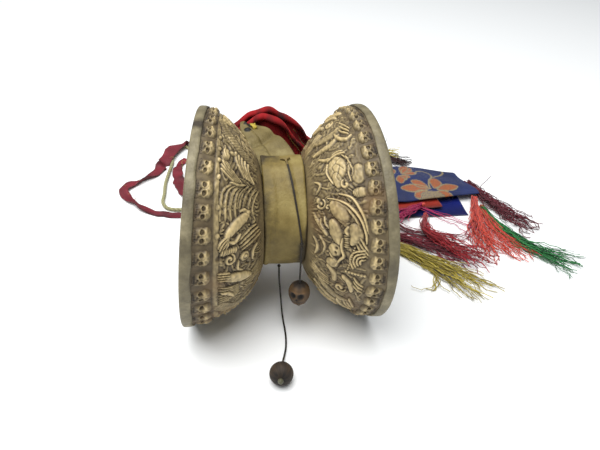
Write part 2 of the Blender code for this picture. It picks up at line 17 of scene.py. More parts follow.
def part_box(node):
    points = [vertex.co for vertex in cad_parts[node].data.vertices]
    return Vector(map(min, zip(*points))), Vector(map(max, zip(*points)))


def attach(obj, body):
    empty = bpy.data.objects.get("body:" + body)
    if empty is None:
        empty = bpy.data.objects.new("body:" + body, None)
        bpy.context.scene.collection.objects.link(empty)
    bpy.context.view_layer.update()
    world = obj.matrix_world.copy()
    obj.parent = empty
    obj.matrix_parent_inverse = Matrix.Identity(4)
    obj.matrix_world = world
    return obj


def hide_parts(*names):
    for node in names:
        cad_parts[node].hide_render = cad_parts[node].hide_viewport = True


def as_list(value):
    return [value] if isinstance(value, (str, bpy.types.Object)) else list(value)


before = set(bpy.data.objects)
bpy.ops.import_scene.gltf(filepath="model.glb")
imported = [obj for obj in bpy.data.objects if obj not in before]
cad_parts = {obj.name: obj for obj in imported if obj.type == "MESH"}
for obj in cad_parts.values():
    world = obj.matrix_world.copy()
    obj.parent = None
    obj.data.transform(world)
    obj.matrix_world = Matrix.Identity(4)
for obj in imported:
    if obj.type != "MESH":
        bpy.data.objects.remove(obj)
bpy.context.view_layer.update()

MM = 0.001
axle_low, axle_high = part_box("joining_dowel")
WAIST = (axle_low + axle_high) / 2
GROUND = Vector((WAIST.x, WAIST.y, 0))
print("waist at", [round(value, 4) for value in WAIST], "nodes", len(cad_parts))

# %% [markdown]
# ## Helpers
# Colours are written as sRGB hex values, which is how paint charts and pickers give them. Shaders want
# linear light, so one function converts them. One more function adds a shader or geometry node with
# its settings and its links in a single call, and every finish starts from the same few lines.

# %% Helpers for colours and nodes
def linear(hex_code):
    """An sRGB hex colour as linear RGBA."""
    parts = [int(hex_code[i:i + 2], 16) / 255 for i in (1, 3, 5)]
    return (*(c / 12.92 if c <= 0.04045 else ((c + 0.055) / 1.055) ** 2.4 for c in parts), 1.0)


def feed(node, inputs):
    """Sets a node's inputs by name or index. A value may be plain, a hex colour, a socket, a node
    whose first output is meant, or a sum such as ("ADD", a, b), which becomes Math nodes."""
    for key, value in inputs.items():
        if isinstance(value, tuple) and isinstance(value[0], str):
            value = add(node.id_data, "ShaderNodeMath", enumerate(value[1:]), operation=value[0])
        if isinstance(value, bpy.types.Node):
            value = value.outputs[0]
        if isinstance(value, bpy.types.NodeSocket):
            node.id_data.links.new(value, node.inputs[key])
        elif isinstance(value, str) and value.startswith("#"):
            node.inputs[key].default_value = linear(value)
        else:
            node.inputs[key].default_value = value


def add(tree, kind, inputs=(), stops=(), **settings):
    """Adds a node with its settings, its inputs and, on a colour ramp, its (place, hex) stops."""
    node = tree.nodes.new(kind)
    for name, value in settings.items():
        setattr(node, name, value)
    while len(stops) > len(node.color_ramp.elements if stops else ()):
        node.color_ramp.elements.new(0.5)
    for k, (place, colour) in enumerate(stops):
        node.color_ramp.elements[k].position = place
        node.color_ramp.elements[k].color = linear(colour)
    feed(node, dict(inputs))
    return node


def finish(name, **plain):
    """A new finish: the material, its tree, its shader, and the piece's own place and UV sockets."""
    material = bpy.data.materials.new(name)
    material.use_nodes = True
    tree = material.node_tree
    shader = tree.nodes["Principled BSDF"]
    feed(shader, {key.replace("_", " "): value for key, value in plain.items()})
    where = add(tree, "ShaderNodeTexCoord").outputs
    return material, tree, shader, where["Object"], where["UV"]


def link_new(name, data):
    """A new object in the scene."""
    obj = bpy.data.objects.new(name, data)
    bpy.context.scene.collection.objects.link(obj)
    return obj


# %% [markdown]
# ## Camera, light and floor
# The drum is seen from a little left of its middle and from above, as on a sorting table. Roll tilts
# the picture by turning the camera about its own line of sight. A white world and one large soft lamp
# give the even light of a light tent, with the darkest shade only under the waist.

# %% Camera
CAMERA_FROM = GROUND + Vector((-0.0402, -0.3469, 0.3103))
CAMERA_TO = GROUND + Vector((0.0138, -0.0022, 0.0660))
CAMERA_ROLL = math.radians(3)
LENS_MM = 36

forward = (CAMERA_TO - CAMERA_FROM).normalized()
right = forward.cross(Vector((0, 0, 1))).normalized()
up = right.cross(forward)
right, up = (right * math.cos(CAMERA_ROLL) + up * math.sin(CAMERA_ROLL),
             up * math.cos(CAMERA_ROLL) - right * math.sin(CAMERA_ROLL))
camera_data = bpy.data.cameras.new("camera")
camera_data.lens = LENS_MM
camera_data.sensor_width = 36
camera_data.clip_start = 0.01
camera = link_new("camera", camera_data)
camera.matrix_world = Matrix((right, up, -forward)).transposed().to_4x4()
camera.location = CAMERA_FROM
bpy.context.scene.camera = camera
print("camera", round((CAMERA_TO - CAMERA_FROM).length, 3), "m from its aim")

# %% Light and floor
world = bpy.data.worlds.new("light_tent")
world.use_nodes = True
world.node_tree.nodes["Background"].inputs["Color"].default_value = (0.90, 0.96, 1, 1)
world.node_tree.nodes["Background"].inputs["Strength"].default_value = 0.25
bpy.context.scene.world = world
bpy.context.scene.view_settings.view_transform = "Standard"


def soft_lamp(name, place, aim, size, watts):
    data = bpy.data.lights.new(name, "AREA")
    data.energy = watts
    data.size = size
    lamp = link_new(name, data)
    lamp.location = place
    lamp.rotation_euler = (Vector(aim) - Vector(place)).to_track_quat("-Z", "Y").to_euler()


soft_lamp("overhead_softbox", GROUND + Vector((-0.35, -0.20, 1.6)), GROUND, 1.7, 50.0)
bm = bmesh.new()
bmesh.ops.create_grid(bm, x_segments=1, y_segments=1, size=6)
floor_mesh = bpy.data.meshes.new("floor")
bm.to_mesh(floor_mesh)
bm.free()
floor = link_new("floor", floor_mesh)
floor_mesh.materials.append(finish("white_laminate", Base_Color="#f6f7f7", Roughness=0.6)[0])

# %% [markdown]
# ## The small tools that shape everything
# Three shapes keep coming back: a grid of points with a thickness (cloth, hide, carving), a tube that
# follows a route (cords, piping) and a smooth curve through given points. Each gets one function.
# A route is measured from the ground point under the waist, which is how the frame's maker laid it out.

# %% Curves
def smooth_route(route, count, per_mm=True):
    """Points along a Catmull-Rom curve through a route, as an array in the row frame."""
    knots = np.array(route, float) * (MM if per_mm else 1)
    knots = np.vstack([2 * knots[0] - knots[1], knots, 2 * knots[-1] - knots[-2]])
    place = np.linspace(0, len(knots) - 3, count)
    index = np.minimum(place.astype(int), len(knots) - 4)
    t = (place - index)[:, None]
    a, b, c, d = (knots[index + k] for k in range(4))
    points = 0.5 * (2 * b + (c - a) * t + (2 * a - 5 * b + 4 * c - d) * t ** 2
                    + (3 * b - a - 3 * c + d) * t ** 3)
    return points


def run_along(points):
    """Length run from the first point to each point of a path."""
    return np.concatenate([[0], np.cumsum(np.linalg.norm(np.diff(points, axis=0), axis=1))])


def even_route(route, count):
    """The same curve with its points evenly spaced, shifted to the drum's place."""
    fine = smooth_route(route, 60 * len(route))
    along = run_along(fine)
    wanted = np.linspace(0, along[-1], count)
    points = np.stack([np.interp(wanted, along, fine[:, k]) for k in range(3)], axis=1)
    return points + np.array(GROUND)


def path_length(points):
    return float(run_along(points)[-1])


def interpolated(values, count):
    """A short list of numbers or vectors stretched evenly to count rows."""
    values = np.array(values, float)
    place, knots = np.linspace(0, len(values) - 1, count), np.arange(len(values))
    if values.ndim == 1:
        return np.interp(place, knots, values)
    return np.stack([np.interp(place, knots, column) for column in values.T], axis=1)


def unit(vectors):
    return vectors / np.maximum(np.linalg.norm(vectors, axis=-1, keepdims=True), 1e-12)


def to_path(x, y, px, py):
    """How far places are from a path, and the share of the path that lies before the nearest point."""
    best, share = np.full(x.shape, 1e9), np.zeros(x.shape)
    for k in range(len(px) - 1):
        dx, dy = px[k + 1] - px[k], py[k + 1] - py[k]
        t = np.clip(((x - px[k]) * dx + (y - py[k]) * dy) / (dx * dx + dy * dy + 1e-9), 0, 1)
        away = np.hypot(x - px[k] - t * dx, y - py[k] - t * dy)
        share = np.where(away < best, (k + t) / (len(px) - 1), share)
        best = np.minimum(best, away)
    return best, share


def ease(share):
    share = np.clip(share, 0, 1)
    return share * share * (3 - 2 * share)


# %% Meshes
def mesh_object(name, points, faces, material, uvs=None, values=None):
    """A mesh at the origin with its place in its points. values maps attribute names to arrays."""
    mesh = bpy.data.meshes.new(name)
    faces = faces if isinstance(faces, list) else faces.tolist()
    mesh.from_pydata(np.asarray(points).reshape(-1, 3).tolist(), [], faces)
    for attribute, numbers in (values or {}).items():
        layer = mesh.attributes.new(attribute, "FLOAT", "POINT")
        layer.data.foreach_set("value", np.asarray(numbers, np.float32).ravel())
    if uvs is not None:
        corner = np.zeros(len(mesh.loops), np.int32)
        mesh.loops.foreach_get("vertex_index", corner)
        layer = mesh.uv_layers.new(name="UVMap")
        layer.data.foreach_set("uv", np.asarray(uvs, np.float32)[corner].ravel())
    mesh.validate()
    mesh.shade_smooth()
    mesh.materials.append(material)
    return link_new(name, mesh)


def grid_faces(rows, columns, wrap_rows=False, wrap_columns=False):
    """Quads between neighbouring points of a rows by columns grid."""
    r = np.arange(rows if wrap_rows else rows - 1)
    c = np.arange(columns if wrap_columns else columns - 1)
    r, c = np.meshgrid(r, c, indexing="ij")
    r2, c2 = (r + 1) % rows, (c + 1) % columns
    return np.stack([r * columns + c, r * columns + c2, r2 * columns + c2, r2 * columns + c],
                    axis=-1).reshape(-1, 4)


def grid_rim(rows, columns):
    """The points round the outside of a grid, in order."""
    rim = list(range(columns)) + [r * columns + columns - 1 for r in range(1, rows)]
    rim += [(rows - 1) * columns + k for k in range(columns - 2, -1, -1)]
    return rim + [r * columns for r in range(rows - 2, 0, -1)]


def face_out(obj, merge=True):
    """Merge doubles, then turn every face of a closed mesh outwards."""
    bm = bmesh.new()
    bm.from_mesh(obj.data)
    if merge:
        bmesh.ops.remove_doubles(bm, verts=bm.verts, dist=1e-6)
    bmesh.ops.recalc_face_normals(bm, faces=bm.faces)
    bm.to_mesh(obj.data)
    bm.free()
    obj.data.shade_smooth()
    return obj


def stand_for(obj, node, body="drum"):
    """The piece rides on a body and takes a frame node's place."""
    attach(obj, body)
    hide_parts(node)


def plain_mesh(obj, tree, settings):
    """Grows a node tree on an object, its inputs set by identifier, and keeps the result as a mesh."""
    modifier = obj.modifiers.new("nodes", "NODES")
    modifier.node_group = tree
    for item in tree.interface.items_tree:
        if item.in_out == "INPUT" and item.name in settings:
            modifier[item.identifier] = settings[item.name]
    bpy.context.view_layer.update()
    graph = bpy.context.evaluated_depsgraph_get()
    mesh = bpy.data.meshes.new_from_object(obj.evaluated_get(graph))
    name = obj.name
    bpy.data.objects.remove(obj, do_unlink=True)
    return link_new(name, mesh)


def open_tree(name, settings):
    """A geometry tree with one named input for each setting, and that group's input sockets."""
    tree = bpy.data.node_groups.new(name, "GeometryNodeTree")
    socket = tree.interface.new_socket
    socket("Geometry", in_out="INPUT", socket_type="NodeSocketGeometry")
    for label, value in settings.items():
        kind = "NodeSocketInt" if isinstance(value, int) else "NodeSocketFloat"
        socket(label, in_out="INPUT", socket_type=kind)
    socket("Geometry", in_out="OUTPUT", socket_type="NodeSocketGeometry")
    return tree, add(tree, "NodeGroupInput").outputs


def frames_along(points):
    """A tangent and two steady side directions at each point of a path."""
    tangent = np.gradient(points, axis=0)
    tangent /= np.linalg.norm(tangent, axis=1, keepdims=True)
    start = np.cross(tangent[0], [0.13, 0.21, 0.97])
    side = np.zeros_like(points)
    side[0] = start / np.linalg.norm(start)
    for i in range(1, len(points)):
        moved = side[i - 1] - tangent[i] * (side[i - 1] @ tangent[i])
        side[i] = moved / np.linalg.norm(moved)
    return tangent, side, np.cross(tangent, side)


def tube_caps(rings, sides):
    return [list(range(sides))[::-1], [(rings - 1) * sides + k for k in range(sides)]]


def tube_mesh(name, paths, radius, sides, material, values):
    """One mesh of closed tubes with rounded ends, one for each path, each with its own shade."""
    all_points, all_faces, base = [], [], 0
    angle = np.linspace(0, 2 * math.pi, sides, endpoint=False)[None, :, None]
    for points in paths:
        reach = np.broadcast_to(np.asarray(radius, float), (len(points),))
        first, last = points[0] - points[1], points[-1] - points[-2]
        ends = np.vstack([points[0] + first / np.linalg.norm(first) * reach[0] * 0.6, points,
                          points[-1] + last / np.linalg.norm(last) * reach[-1] * 0.6])
        reach = np.concatenate([[reach[0] * 0.45], reach, [reach[-1] * 0.45]])[:, None, None]
        _, side, over = frames_along(ends)
        rings = ends[:, None] + reach * (np.cos(angle) * side[:, None] + np.sin(angle) * over[:, None])
        faces = grid_faces(len(ends), sides, wrap_columns=True).tolist() + tube_caps(len(ends), sides)
        all_faces += [[k + base for k in face] for face in faces]
        all_points.append(rings.reshape(-1, 3))
        base += len(all_points[-1])
    shade = np.concatenate([np.full(len(p), v) for p, v in zip(all_points, values)])
    return face_out(mesh_object(name, np.vstack(all_points), all_faces, material,
                                values={"shade": shade}))


def blur(field, sigma, wrap=(True, False)):
    """A Gaussian blur of a 2-D array by its two axes, sigma in grid steps."""
    for axis in (0, 1):
        reach = max(1, int(3 * sigma[axis]))
        kernel = np.exp(-0.5 * (np.arange(-reach, reach + 1) / max(sigma[axis], 1e-6)) ** 2)
        kernel /= kernel.sum()
        mode = "wrap" if wrap[axis] else "edge"
        padded = np.pad(field, [(reach, reach) if k == axis else (0, 0) for k in (0, 1)], mode)
        total = np.zeros_like(field)
        for k, weight in enumerate(kernel):
            total += weight * np.take(padded, range(k, k + field.shape[axis]), axis=axis)
        field = total
    return field


def smooth_noise(rows, columns, sigma, seed, wrap=(False, False)):
    """A seeded field of about unit height, blurred to a size in grid steps."""
    field = blur(np.random.default_rng(seed).normal(size=(rows, columns)), sigma, wrap)
    return field / max(field.std(), 1e-9)

# %% [markdown]
# ## The cords' routes
# Each cord has the length, thickness and route that the frame's maker chose, so the same points are
# repeated here. The olive cord is a closed hanging loop that was thrown to the left. One striker cord
# lies forward on the table with its bead, and the other runs over the belt and hangs plumb.

# %% Cord routes, in millimetres from the ground point under the waist
OLIVE_ROUTE = [(-33, 58, 117), (-42, 77, 112), (-50, 97, 86), (-58, 118, 52), (-62, 146, 20),
               (-63, 172, 4), (-64, 196, 1.9), (-66, 218, 1.9), (-71, 235, 1.9), (-79, 243, 1.9),
               (-86.5, 239, 1.9), (-90, 225, 1.9), (-90, 206, 1.9), (-92.5, 186, 1.9),
               (-94.5, 166, 1.9), (-94.5, 147, 1.9), (-95, 133, 1.9), (-90, 122.5, 1.9),
               (-79, 119.5, 1.9), (-66, 121, 1.9), (-57, 123, 5), (-51, 116, 22),
               (-46, 104, 48), (-41, 94, 74), (-38, 86, 96)]
FRONT_CORD_ROUTE = [(-2.2, -21, 34), (-1.4, -21.2, 24), (-0.4, -21.8, 13), (0.2, -24.5, 4.2),
                    (0.6, -31, 1.1), (0.9, -40, 0.9), (0.7, -49, 0.9), (-0.4, -58, 1.2),
                    (-2.4, -66, 2.0), (-4.2, -73, 3.9), (-5.2, -79, 5.85)]
OLIVE_DIAMETER = 3.4 * MM
STRIKER_DIAMETER = 1.3 * MM
olive_line = even_route(OLIVE_ROUTE, 420)
print("olive cord", round(path_length(olive_line) * 1000, 1), "mm")

# %% [markdown]
# ## Aged bone
# The bowls are carved from a pale, horn-like bone that has been oiled and handled for years. Dirt and
# oil stay in the cuts, and fingers polish the high places back to cream. So the colour follows the
# carving itself: each point of a carved mesh carries a number, which the script works out by comparing
# the surface with a blurred copy of itself. It holds the dirt and polish, and also painted shade that
# darkens the cuts and hollows further, as if shade fell in them.

# %% Material: carved bone, hand-polished and oiled
def carved_bone(name, dirt_and_shade, shade, skin, cream, roughness=0.48):
    """Bone whose colour goes from dirt and painted shade to cream with the 'wear'
    attribute, plus grain and pores.
    """
    material, tree, shader, place, _ = finish(name, IOR=1.5)
    wear = add(tree, "ShaderNodeAttribute", attribute_name="wear").outputs["Fac"]
    mottle = add(tree, "ShaderNodeTexNoise", {"Vector": place, "Scale": 110.0, "Detail": 5.0,
                                              "Roughness": 0.6})
    stain = add(tree, "ShaderNodeTexNoise", {"Vector": place, "Scale": 32.0, "Detail": 3.0})
    patina = ("MULTIPLY_ADD", stain, -0.55, 0.04)
    worn_and_shaded = add(tree, "ShaderNodeMath", {0: wear, 1: ("MULTIPLY_ADD", mottle, 0.44, patina)},
               operation="ADD", use_clamp=True)
    # The ramp runs from dirt and painted shade in the cuts to the polished cream of the high places.
    tone = add(tree, "ShaderNodeValToRGB", {0: worn_and_shaded},
               stops=((0.0, dirt_and_shade), (0.30, shade), (0.58, skin), (0.92, cream)))
    yellowed = add(tree, "ShaderNodeMapRange", {0: stain, 1: 0.56, 2: 0.72, 4: 0.22})
    warm = add(tree, "ShaderNodeMix", {0: yellowed, 6: tone, 7: "#a8804a"}, data_type="RGBA")
    gloss = add(tree, "ShaderNodeMapRange", {0: worn_and_shaded, 3: roughness + 0.25, 4: roughness - 0.06})
    grit = add(tree, "ShaderNodeTexNoise", {"Vector": place, "Scale": 900.0, "Detail": 3.0})
    bump = add(tree, "ShaderNodeBump", {"Height": grit, "Strength": 0.25, "Distance": 0.0003})
    feed(shader, {"Base Color": warm.outputs[2], "Roughness": gloss, "Normal": bump})
    return material


BONE = carved_bone("oiled_carved_bone", "#2a2114", "#584a33", "#82724f", "#c8b17f")

# %% [markdown]
# ## The bowl's form
# A bowl is a turned form: a narrow neck that opens in a bell towards the rim. The rims of the real
# drum are not quite square to its axis, so the form leans a little more the nearer it is to the rim.
# Every carved point is given by an angle round the axis, counted from the top towards the striker
# side, a distance from the waist, and a height above the turned surface.

# %% The turned bowl as a function
HEAD_RADIUS, HEAD_FACE = 75.0, 60.7
RIM, RIM_RADIUS = 59.4, 73.7
SHOULDER, SHOULDER_RADIUS = 14.3, 36.0
NECK_RADIUS, BORE_RADIUS, NECK_FACE, NECK_FLOOR = 32.5, 6.0, 0.8, 20.0
BOWL_WALL = 5.0
LEAN_FROM, LEAN_TO = 22.5, 59.4
LEAN = {-1: (math.radians(5.6), math.radians(3.8)), 1: (math.radians(3.7), math.radians(1.6))}


def bowl_radius(distance):
    share = np.clip((RIM - distance) / (RIM - SHOULDER), 0, 1)
    return SHOULDER_RADIUS + (RIM_RADIUS - SHOULDER_RADIUS) * (1 - share ** 1.9) ** 0.8


def on_drum(side, degrees, distance, radius):
    """Points of a turned form on one side of the drum, leaned as the rims are, in the row frame."""
    angle = np.radians(degrees)
    across, rise = -radius * np.sin(angle), radius * np.cos(angle)
    lean = LEAN[side]
    share = ease((distance - LEAN_FROM) / (LEAN_TO - LEAN_FROM))
    leaned = distance - share * (lean[0] * across + lean[1] * rise)
    return np.stack([side * leaned * MM + WAIST.x, across * MM + WAIST.y, rise * MM + WAIST.z],
                    axis=-1)


def lifted(distance, height):
    """Distance and radius of a point that stands a height off the bowl's outside."""
    step = 0.05
    slope = (bowl_radius(distance + step) - bowl_radius(distance - step)) / (2 * step)
    length = np.sqrt(1 + slope ** 2)
    return distance - height * slope / length, bowl_radius(distance) + height / length


# %% [markdown]
# ## Carving by rule
# A carver cuts the ground away and leaves the figures standing, then cuts lines into them. The same
# order works on a grid of heights: start from a sunken ground, then raise rounded ridges, lobes and
# discs with a thin cut round each, so that they overlap like layers. Each mark knows only an angle, a
# distance and a width in millimetres, so a figure is a short list of such marks.

# %% The carving tools
class Carving:
    """A sheet of heights in millimetres over one bowl, by angle and distance from the waist."""

    def __init__(self, degrees, distances, ground):
        self.degrees, self.distances = np.meshgrid(degrees, distances, indexing="ij")
        self.radius = bowl_radius(self.distances)
        self.fine = np.linspace(SHOULDER, RIM, 400)
        self.run = run_along(np.stack([self.fine, bowl_radius(self.fine)], axis=1))
        self.along = np.interp(self.distances, self.fine, self.run)
        self.height = np.full(self.degrees.shape, float(ground))
        self.turn = 0

    def chart(self, middle, reach):
        """The columns near an angle, and their places in millimetres round and along the bowl."""
        away = (self.degrees[:, 0] - middle + 180) % 360 - 180
        columns = np.nonzero(np.abs(away) <= reach)[0]
        away = (self.degrees[columns] - middle + 180) % 360 - 180
        return columns, np.radians(away) * self.radius[columns], self.along[columns]

    def near_line(self, points, count, wide):
        """The columns a line can touch, with their distance from it and their share along it."""
        points = np.array(points, float) + [self.turn, 0]
        middle = points[:, 0].mean()
        path = smooth_route(np.c_[points, np.zeros(len(points))], count, per_mm=False)
        columns, x, y = self.chart(middle, np.ptp(path[:, 0]) / 2 + wide)
        px = np.radians((path[:, 0] - middle + 180) % 360 - 180) * bowl_radius(path[:, 1])
        return columns, *to_path(x, y, px, np.interp(path[:, 1], self.fine, self.run))

    def near_spot(self, degrees, distance, size, turn):
        """The columns an oval can touch, with their places as shares of its half sizes."""
        columns, x, y = self.chart(degrees + self.turn, np.degrees((max(size) + 2) / 36) + 1)
        y = y - np.interp(distance, self.fine, self.run)
        c, s = math.cos(math.radians(turn)), math.sin(math.radians(turn))
        return columns, (x * c + y * s) / size[0] * 2, (y * c - x * s) / size[1] * 2

    def ridge(self, points, width, height, tips=(0.35, 0.35), cut=0.5, flat=1.0):
        """A rounded ridge along (angle, distance) points; tips are its end widths as shares."""
        columns, best, share = self.near_line(points, max(12, 7 * len(points)),
                                              np.degrees((width + 2) / 36) + 1)
        body = np.sin(math.pi * np.clip(share, 0, 1)) ** 0.6
        ends = np.where(share < 0.5, tips[0], tips[1])
        half = width / 2 * (ends + (1 - ends) * body)
        self.raise_by(columns, best / half, (best - half), height, cut, flat)

    def lobe(self, degrees, distance, size, height, turn=0.0, cut=0.5, flat=1.0):
        """A rounded lobe, size (round the rim, along the bowl) in millimetres."""
        columns, u, v = self.near_spot(degrees, distance, size, turn)
        q = np.hypot(u, v)
        self.raise_by(columns, q, (q - 1) * min(size) / 2, height, cut, flat)

    def raise_by(self, columns, q, outside, height, cut, flat):
        """Raises where q is under 1, with a thin cut in the ground just outside."""
        here = self.height[columns]
        if cut:
            here = here - cut * np.exp(-(np.maximum(outside, 0) / 0.55) ** 2) * (outside > -0.1)
        dome = np.sqrt(np.clip(1 - q ** 2, 0, 1)) ** flat
        top = np.maximum(here, -0.45 + (0.62 * height + 0.5) * dome)
        self.height[columns] = np.where(q < 1, top, here)

    def sink(self, degrees, distance, size, depth):
        """Presses a rounded hollow into whatever stands there."""
        columns, u, v = self.near_spot(degrees, distance, size, 0.0)
        self.height[columns] -= depth * np.exp(-(u * u + v * v) ** 2)

    def score(self, points, width, depth):
        """A cut line along (angle, distance) points."""
        columns, best, _ = self.near_line(points, 8 * len(points), 4)
        self.height[columns] -= depth * np.exp(-(best / width * 2) ** 2)

    def coil(self, degrees, distance, reach, turns, width, height, start=0.0, way=1):
        """A curled scroll: a ridge along a spiral that winds in."""
        share = np.linspace(0, 1, int(14 * turns) + 1)
        angle = math.radians(start) + way * 2 * math.pi * turns * share
        radius = reach * (1 - 0.86 * share)
        round_it = degrees + np.degrees(radius * np.cos(angle) / bowl_radius(distance))
        self.ridge(np.stack([round_it, distance + radius * np.sin(angle) * 0.74], axis=1), width,
                   height, tips=(0.5, 0.9))

    def fan(self, first, last, count, width, height, tips=(0.4, 0.4), cut=0.45):
        """A sheaf of ridges between two edge routes with the same number of points."""
        for share in np.linspace(0, 1, count):
            self.ridge(np.array(first) * (1 - share) + np.array(last) * share, width, height, tips,
                       cut)

    def beads(self, first, last, count, size, height):
        """A row of small round beads between two places."""
        for place in np.linspace(first, last, count):
            self.lobe(*place, (size, size), height, cut=0.3)

# %% [markdown]
# ## The rows of skulls
# A row of small skulls stands side by side round each rim, their jaws towards the hide. They are
# nearly alike, so one skull is modelled and repeated by Geometry Nodes, which gives each a slightly
# different turn and size, as hand carving does. The skull is a small sheet of heights with a skirt
# that goes down into the bowl: brow, eye sockets, nose, cheekbones and a set of teeth.

# %% One skull
def skull_mesh(across, along, tall, cells):
    """A closed skull relief in millimetres: x towards the jaw, y across, z off the bowl."""
    u, v = np.meshgrid(np.linspace(-1, 1, cells), np.linspace(-1, 1, cells), indexing="ij")
    cranium = 1 - np.clip(np.hypot((u + 0.44) / 0.56, v / 0.96), 0, 1) ** 4.5
    jaw = 1 - np.clip(np.hypot((u - 0.36) / 0.64, v / 0.84), 0, 1) ** 5
    height = np.maximum(0.88 * cranium, 0.60 * jaw)
    brow = np.exp(-((u + 0.42) / 0.15) ** 2) * (np.abs(v) < 0.90)
    reach = np.hypot((u - 0.03) / 0.22, (np.abs(v) - 0.43) / 0.25)
    rings = np.exp(-((reach - 1.30) / 0.42) ** 2)
    sockets = np.exp(-reach ** 4)
    nose = np.exp(-((((u - 0.36) / 0.10) ** 2 + (v / 0.10) ** 2) ** 1.5))
    grin = np.exp(-((u - 0.74 - 0.06 * v ** 2) / 0.05) ** 2) * (np.abs(v) < 0.66)
    teeth = (0.5 + 0.5 * np.cos(v * 24)) * (np.abs(u - 0.74) < 0.16) * (np.abs(v) < 0.64)
    chips = smooth_noise(cells, cells, (1.4, 1.4), 11)
    height += 0.18 * brow + 0.34 * rings - 0.70 * sockets - 0.40 * nose - 0.22 * grin
    height += 0.08 * chips - 0.16 * teeth
    height = np.clip(height, -0.12, 1.2)
    # Painted light and shade: the brow and the rings round the sockets go lighter, and the sockets,
    # nose, grin and teeth are painted dark as the shade inside them. The skirt's edge is darkest, and
    # the face goes darker towards the jaw.
    wear = 0.24 + 0.30 * height + 0.16 * brow + 0.22 * rings - 0.34 * sockets - 0.18 * nose
    wear += 0.06 * chips - 0.14 * grin - 0.12 * teeth - 0.10 * ease((u - 0.40) / 0.4)
    edge = np.maximum(np.abs(u), np.abs(v)) > 0.999
    wear = np.where(edge, 0.0, np.clip(wear, 0, 1))
    bend = (v * across / 2) ** 2 / (2 * 72)
    lift = np.where(edge, -1.6, height * tall - 0.35) - bend
    top = np.stack([u * along / 2, v * across / 2, lift], axis=-1).reshape(-1, 3)
    faces = grid_faces(cells, cells).tolist() + [grid_rim(cells, cells)]
    return top, faces, wear.ravel()


# %% The row, as a node tree
def skull_row(name, count, first, distance, seed, material):
    """Skulls round one rim in the turned frame: x is the distance from the waist, z the top."""
    points, faces, wear = skull_mesh(11.6, 10.4, 2.2, 29)
    tilt = math.atan2(bowl_radius(distance + 2) - bowl_radius(distance - 2), 4)
    x, _, z = points.T
    points = np.stack([x * math.cos(tilt) - z * math.sin(tilt), points[:, 1],
                       x * math.sin(tilt) + z * math.cos(tilt)], axis=1)
    settings = {"Count": count, "First angle": math.radians(first), "Distance": distance,
                "Radius": float(bowl_radius(distance)), "Size spread": 0.10, "Turn spread": 0.16}
    tree, given = open_tree(name + "_nodes", settings)
    line = add(tree, "GeometryNodeMeshLine", {"Count": given["Count"]})
    index = add(tree, "GeometryNodeInputIndex")
    angle = add(tree, "ShaderNodeMath", {0: index, 1: ("DIVIDE", 2 * math.pi, given["Count"]),
                                         2: given["First angle"]}, operation="MULTIPLY_ADD")
    place = add(tree, "ShaderNodeCombineXYZ",
                {"X": given["Distance"],
                 "Y": ("MULTIPLY", ("SINE", angle), ("MULTIPLY", given["Radius"], -1.0)),
                 "Z": ("MULTIPLY", ("COSINE", angle), given["Radius"])})
    moved = add(tree, "GeometryNodeSetPosition", {"Geometry": line, "Position": place})
    spin = add(tree, "ShaderNodeCombineXYZ", {"X": angle})
    size = add(tree, "FunctionNodeRandomValue", {2: ("SUBTRACT", 1.0, given["Size spread"]),
                                                 3: 1.03, "Seed": seed}).outputs[1]
    rows = add(tree, "GeometryNodeInstanceOnPoints", {"Points": moved, "Rotation": spin,
                                                      "Instance": given["Geometry"],
                                                      "Scale": size})
    low = ("MULTIPLY", given["Turn spread"], -1.0)
    yaw = add(tree, "FunctionNodeRandomValue", {2: low, 3: given["Turn spread"],
                                                "Seed": seed + 1}).outputs[1]
    twist = add(tree, "ShaderNodeCombineXYZ", {"Z": yaw})
    turned = add(tree, "GeometryNodeRotateInstances", {"Instances": rows, "Rotation": twist})
    real = add(tree, "GeometryNodeRealizeInstances", {0: turned})
    coat = add(tree, "GeometryNodeSetMaterial", {"Geometry": real, "Material": material})
    add(tree, "NodeGroupOutput", {0: coat})
    one = mesh_object(name, points, faces, material, values={"wear": wear})
    return plain_mesh(one, tree, settings)


def lean_mesh(obj, side):
    """Moves a mesh from the turned frame in millimetres to its place on one side of the drum."""
    points = np.zeros(len(obj.data.vertices) * 3, np.float32)
    obj.data.vertices.foreach_get("co", points)
    points = points.reshape(-1, 3).astype(float)
    degrees = np.degrees(np.arctan2(-points[:, 1], points[:, 2]))
    placed = on_drum(side, degrees, points[:, 0], np.hypot(points[:, 1], points[:, 2]))
    obj.data.vertices.foreach_set("co", placed.astype(np.float32).ravel())
    if side < 0:
        obj.data.flip_normals()
    obj.data.update()
    obj.data.shade_smooth()
    return obj


# %% Both rows
for word, side, count, first in (("left", -1, 33, 21.6), ("right", 1, 38, 26.1)):
    row = lean_mesh(skull_row(word + "_skull_row", count, first, 49.1, 5 + side, BONE), side)
    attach(row, "drum")
    print(row.name, len(row.data.polygons), "faces,", count, "skulls")

# %% [markdown]
# ## The carved field
# Between the skulls and the belt each bowl carries crowded figures: robes in long pleats, arms with
# hands, scarves, flames, coiled scrolls and small animals. The scene is repeated three times round
# the bowl, as the craft does. Each figure is a few marks of the carving tools, laid in the order in
# which one covers the other, over a ground of small seeded curls that fills the spaces between.

# %% Ground, the same idea for both bowls
def ground_curls(carving, seed, count):
    """Low lobes and short soft strokes that keep the sunken ground from looking turned."""
    rng = np.random.default_rng(seed)
    for k in range(count):
        degrees, distance = rng.uniform(0, 360), rng.uniform(16, 43)
        reach, swing = rng.uniform(1.5, 4), rng.uniform(-7, 7)
        if k % 3 == 0:
            carving.lobe(degrees, distance, (rng.uniform(1.5, 5), rng.uniform(1.5, 6)), 0.1,
                         rng.uniform(0, 180), cut=0.25, flat=0.7)
        else:
            carving.ridge([(degrees, distance - reach), (degrees + swing, distance),
                           (degrees + swing * rng.uniform(0, 1.6), distance + reach)],
                          rng.uniform(1.1, 2.2), 0.15, cut=0.3)


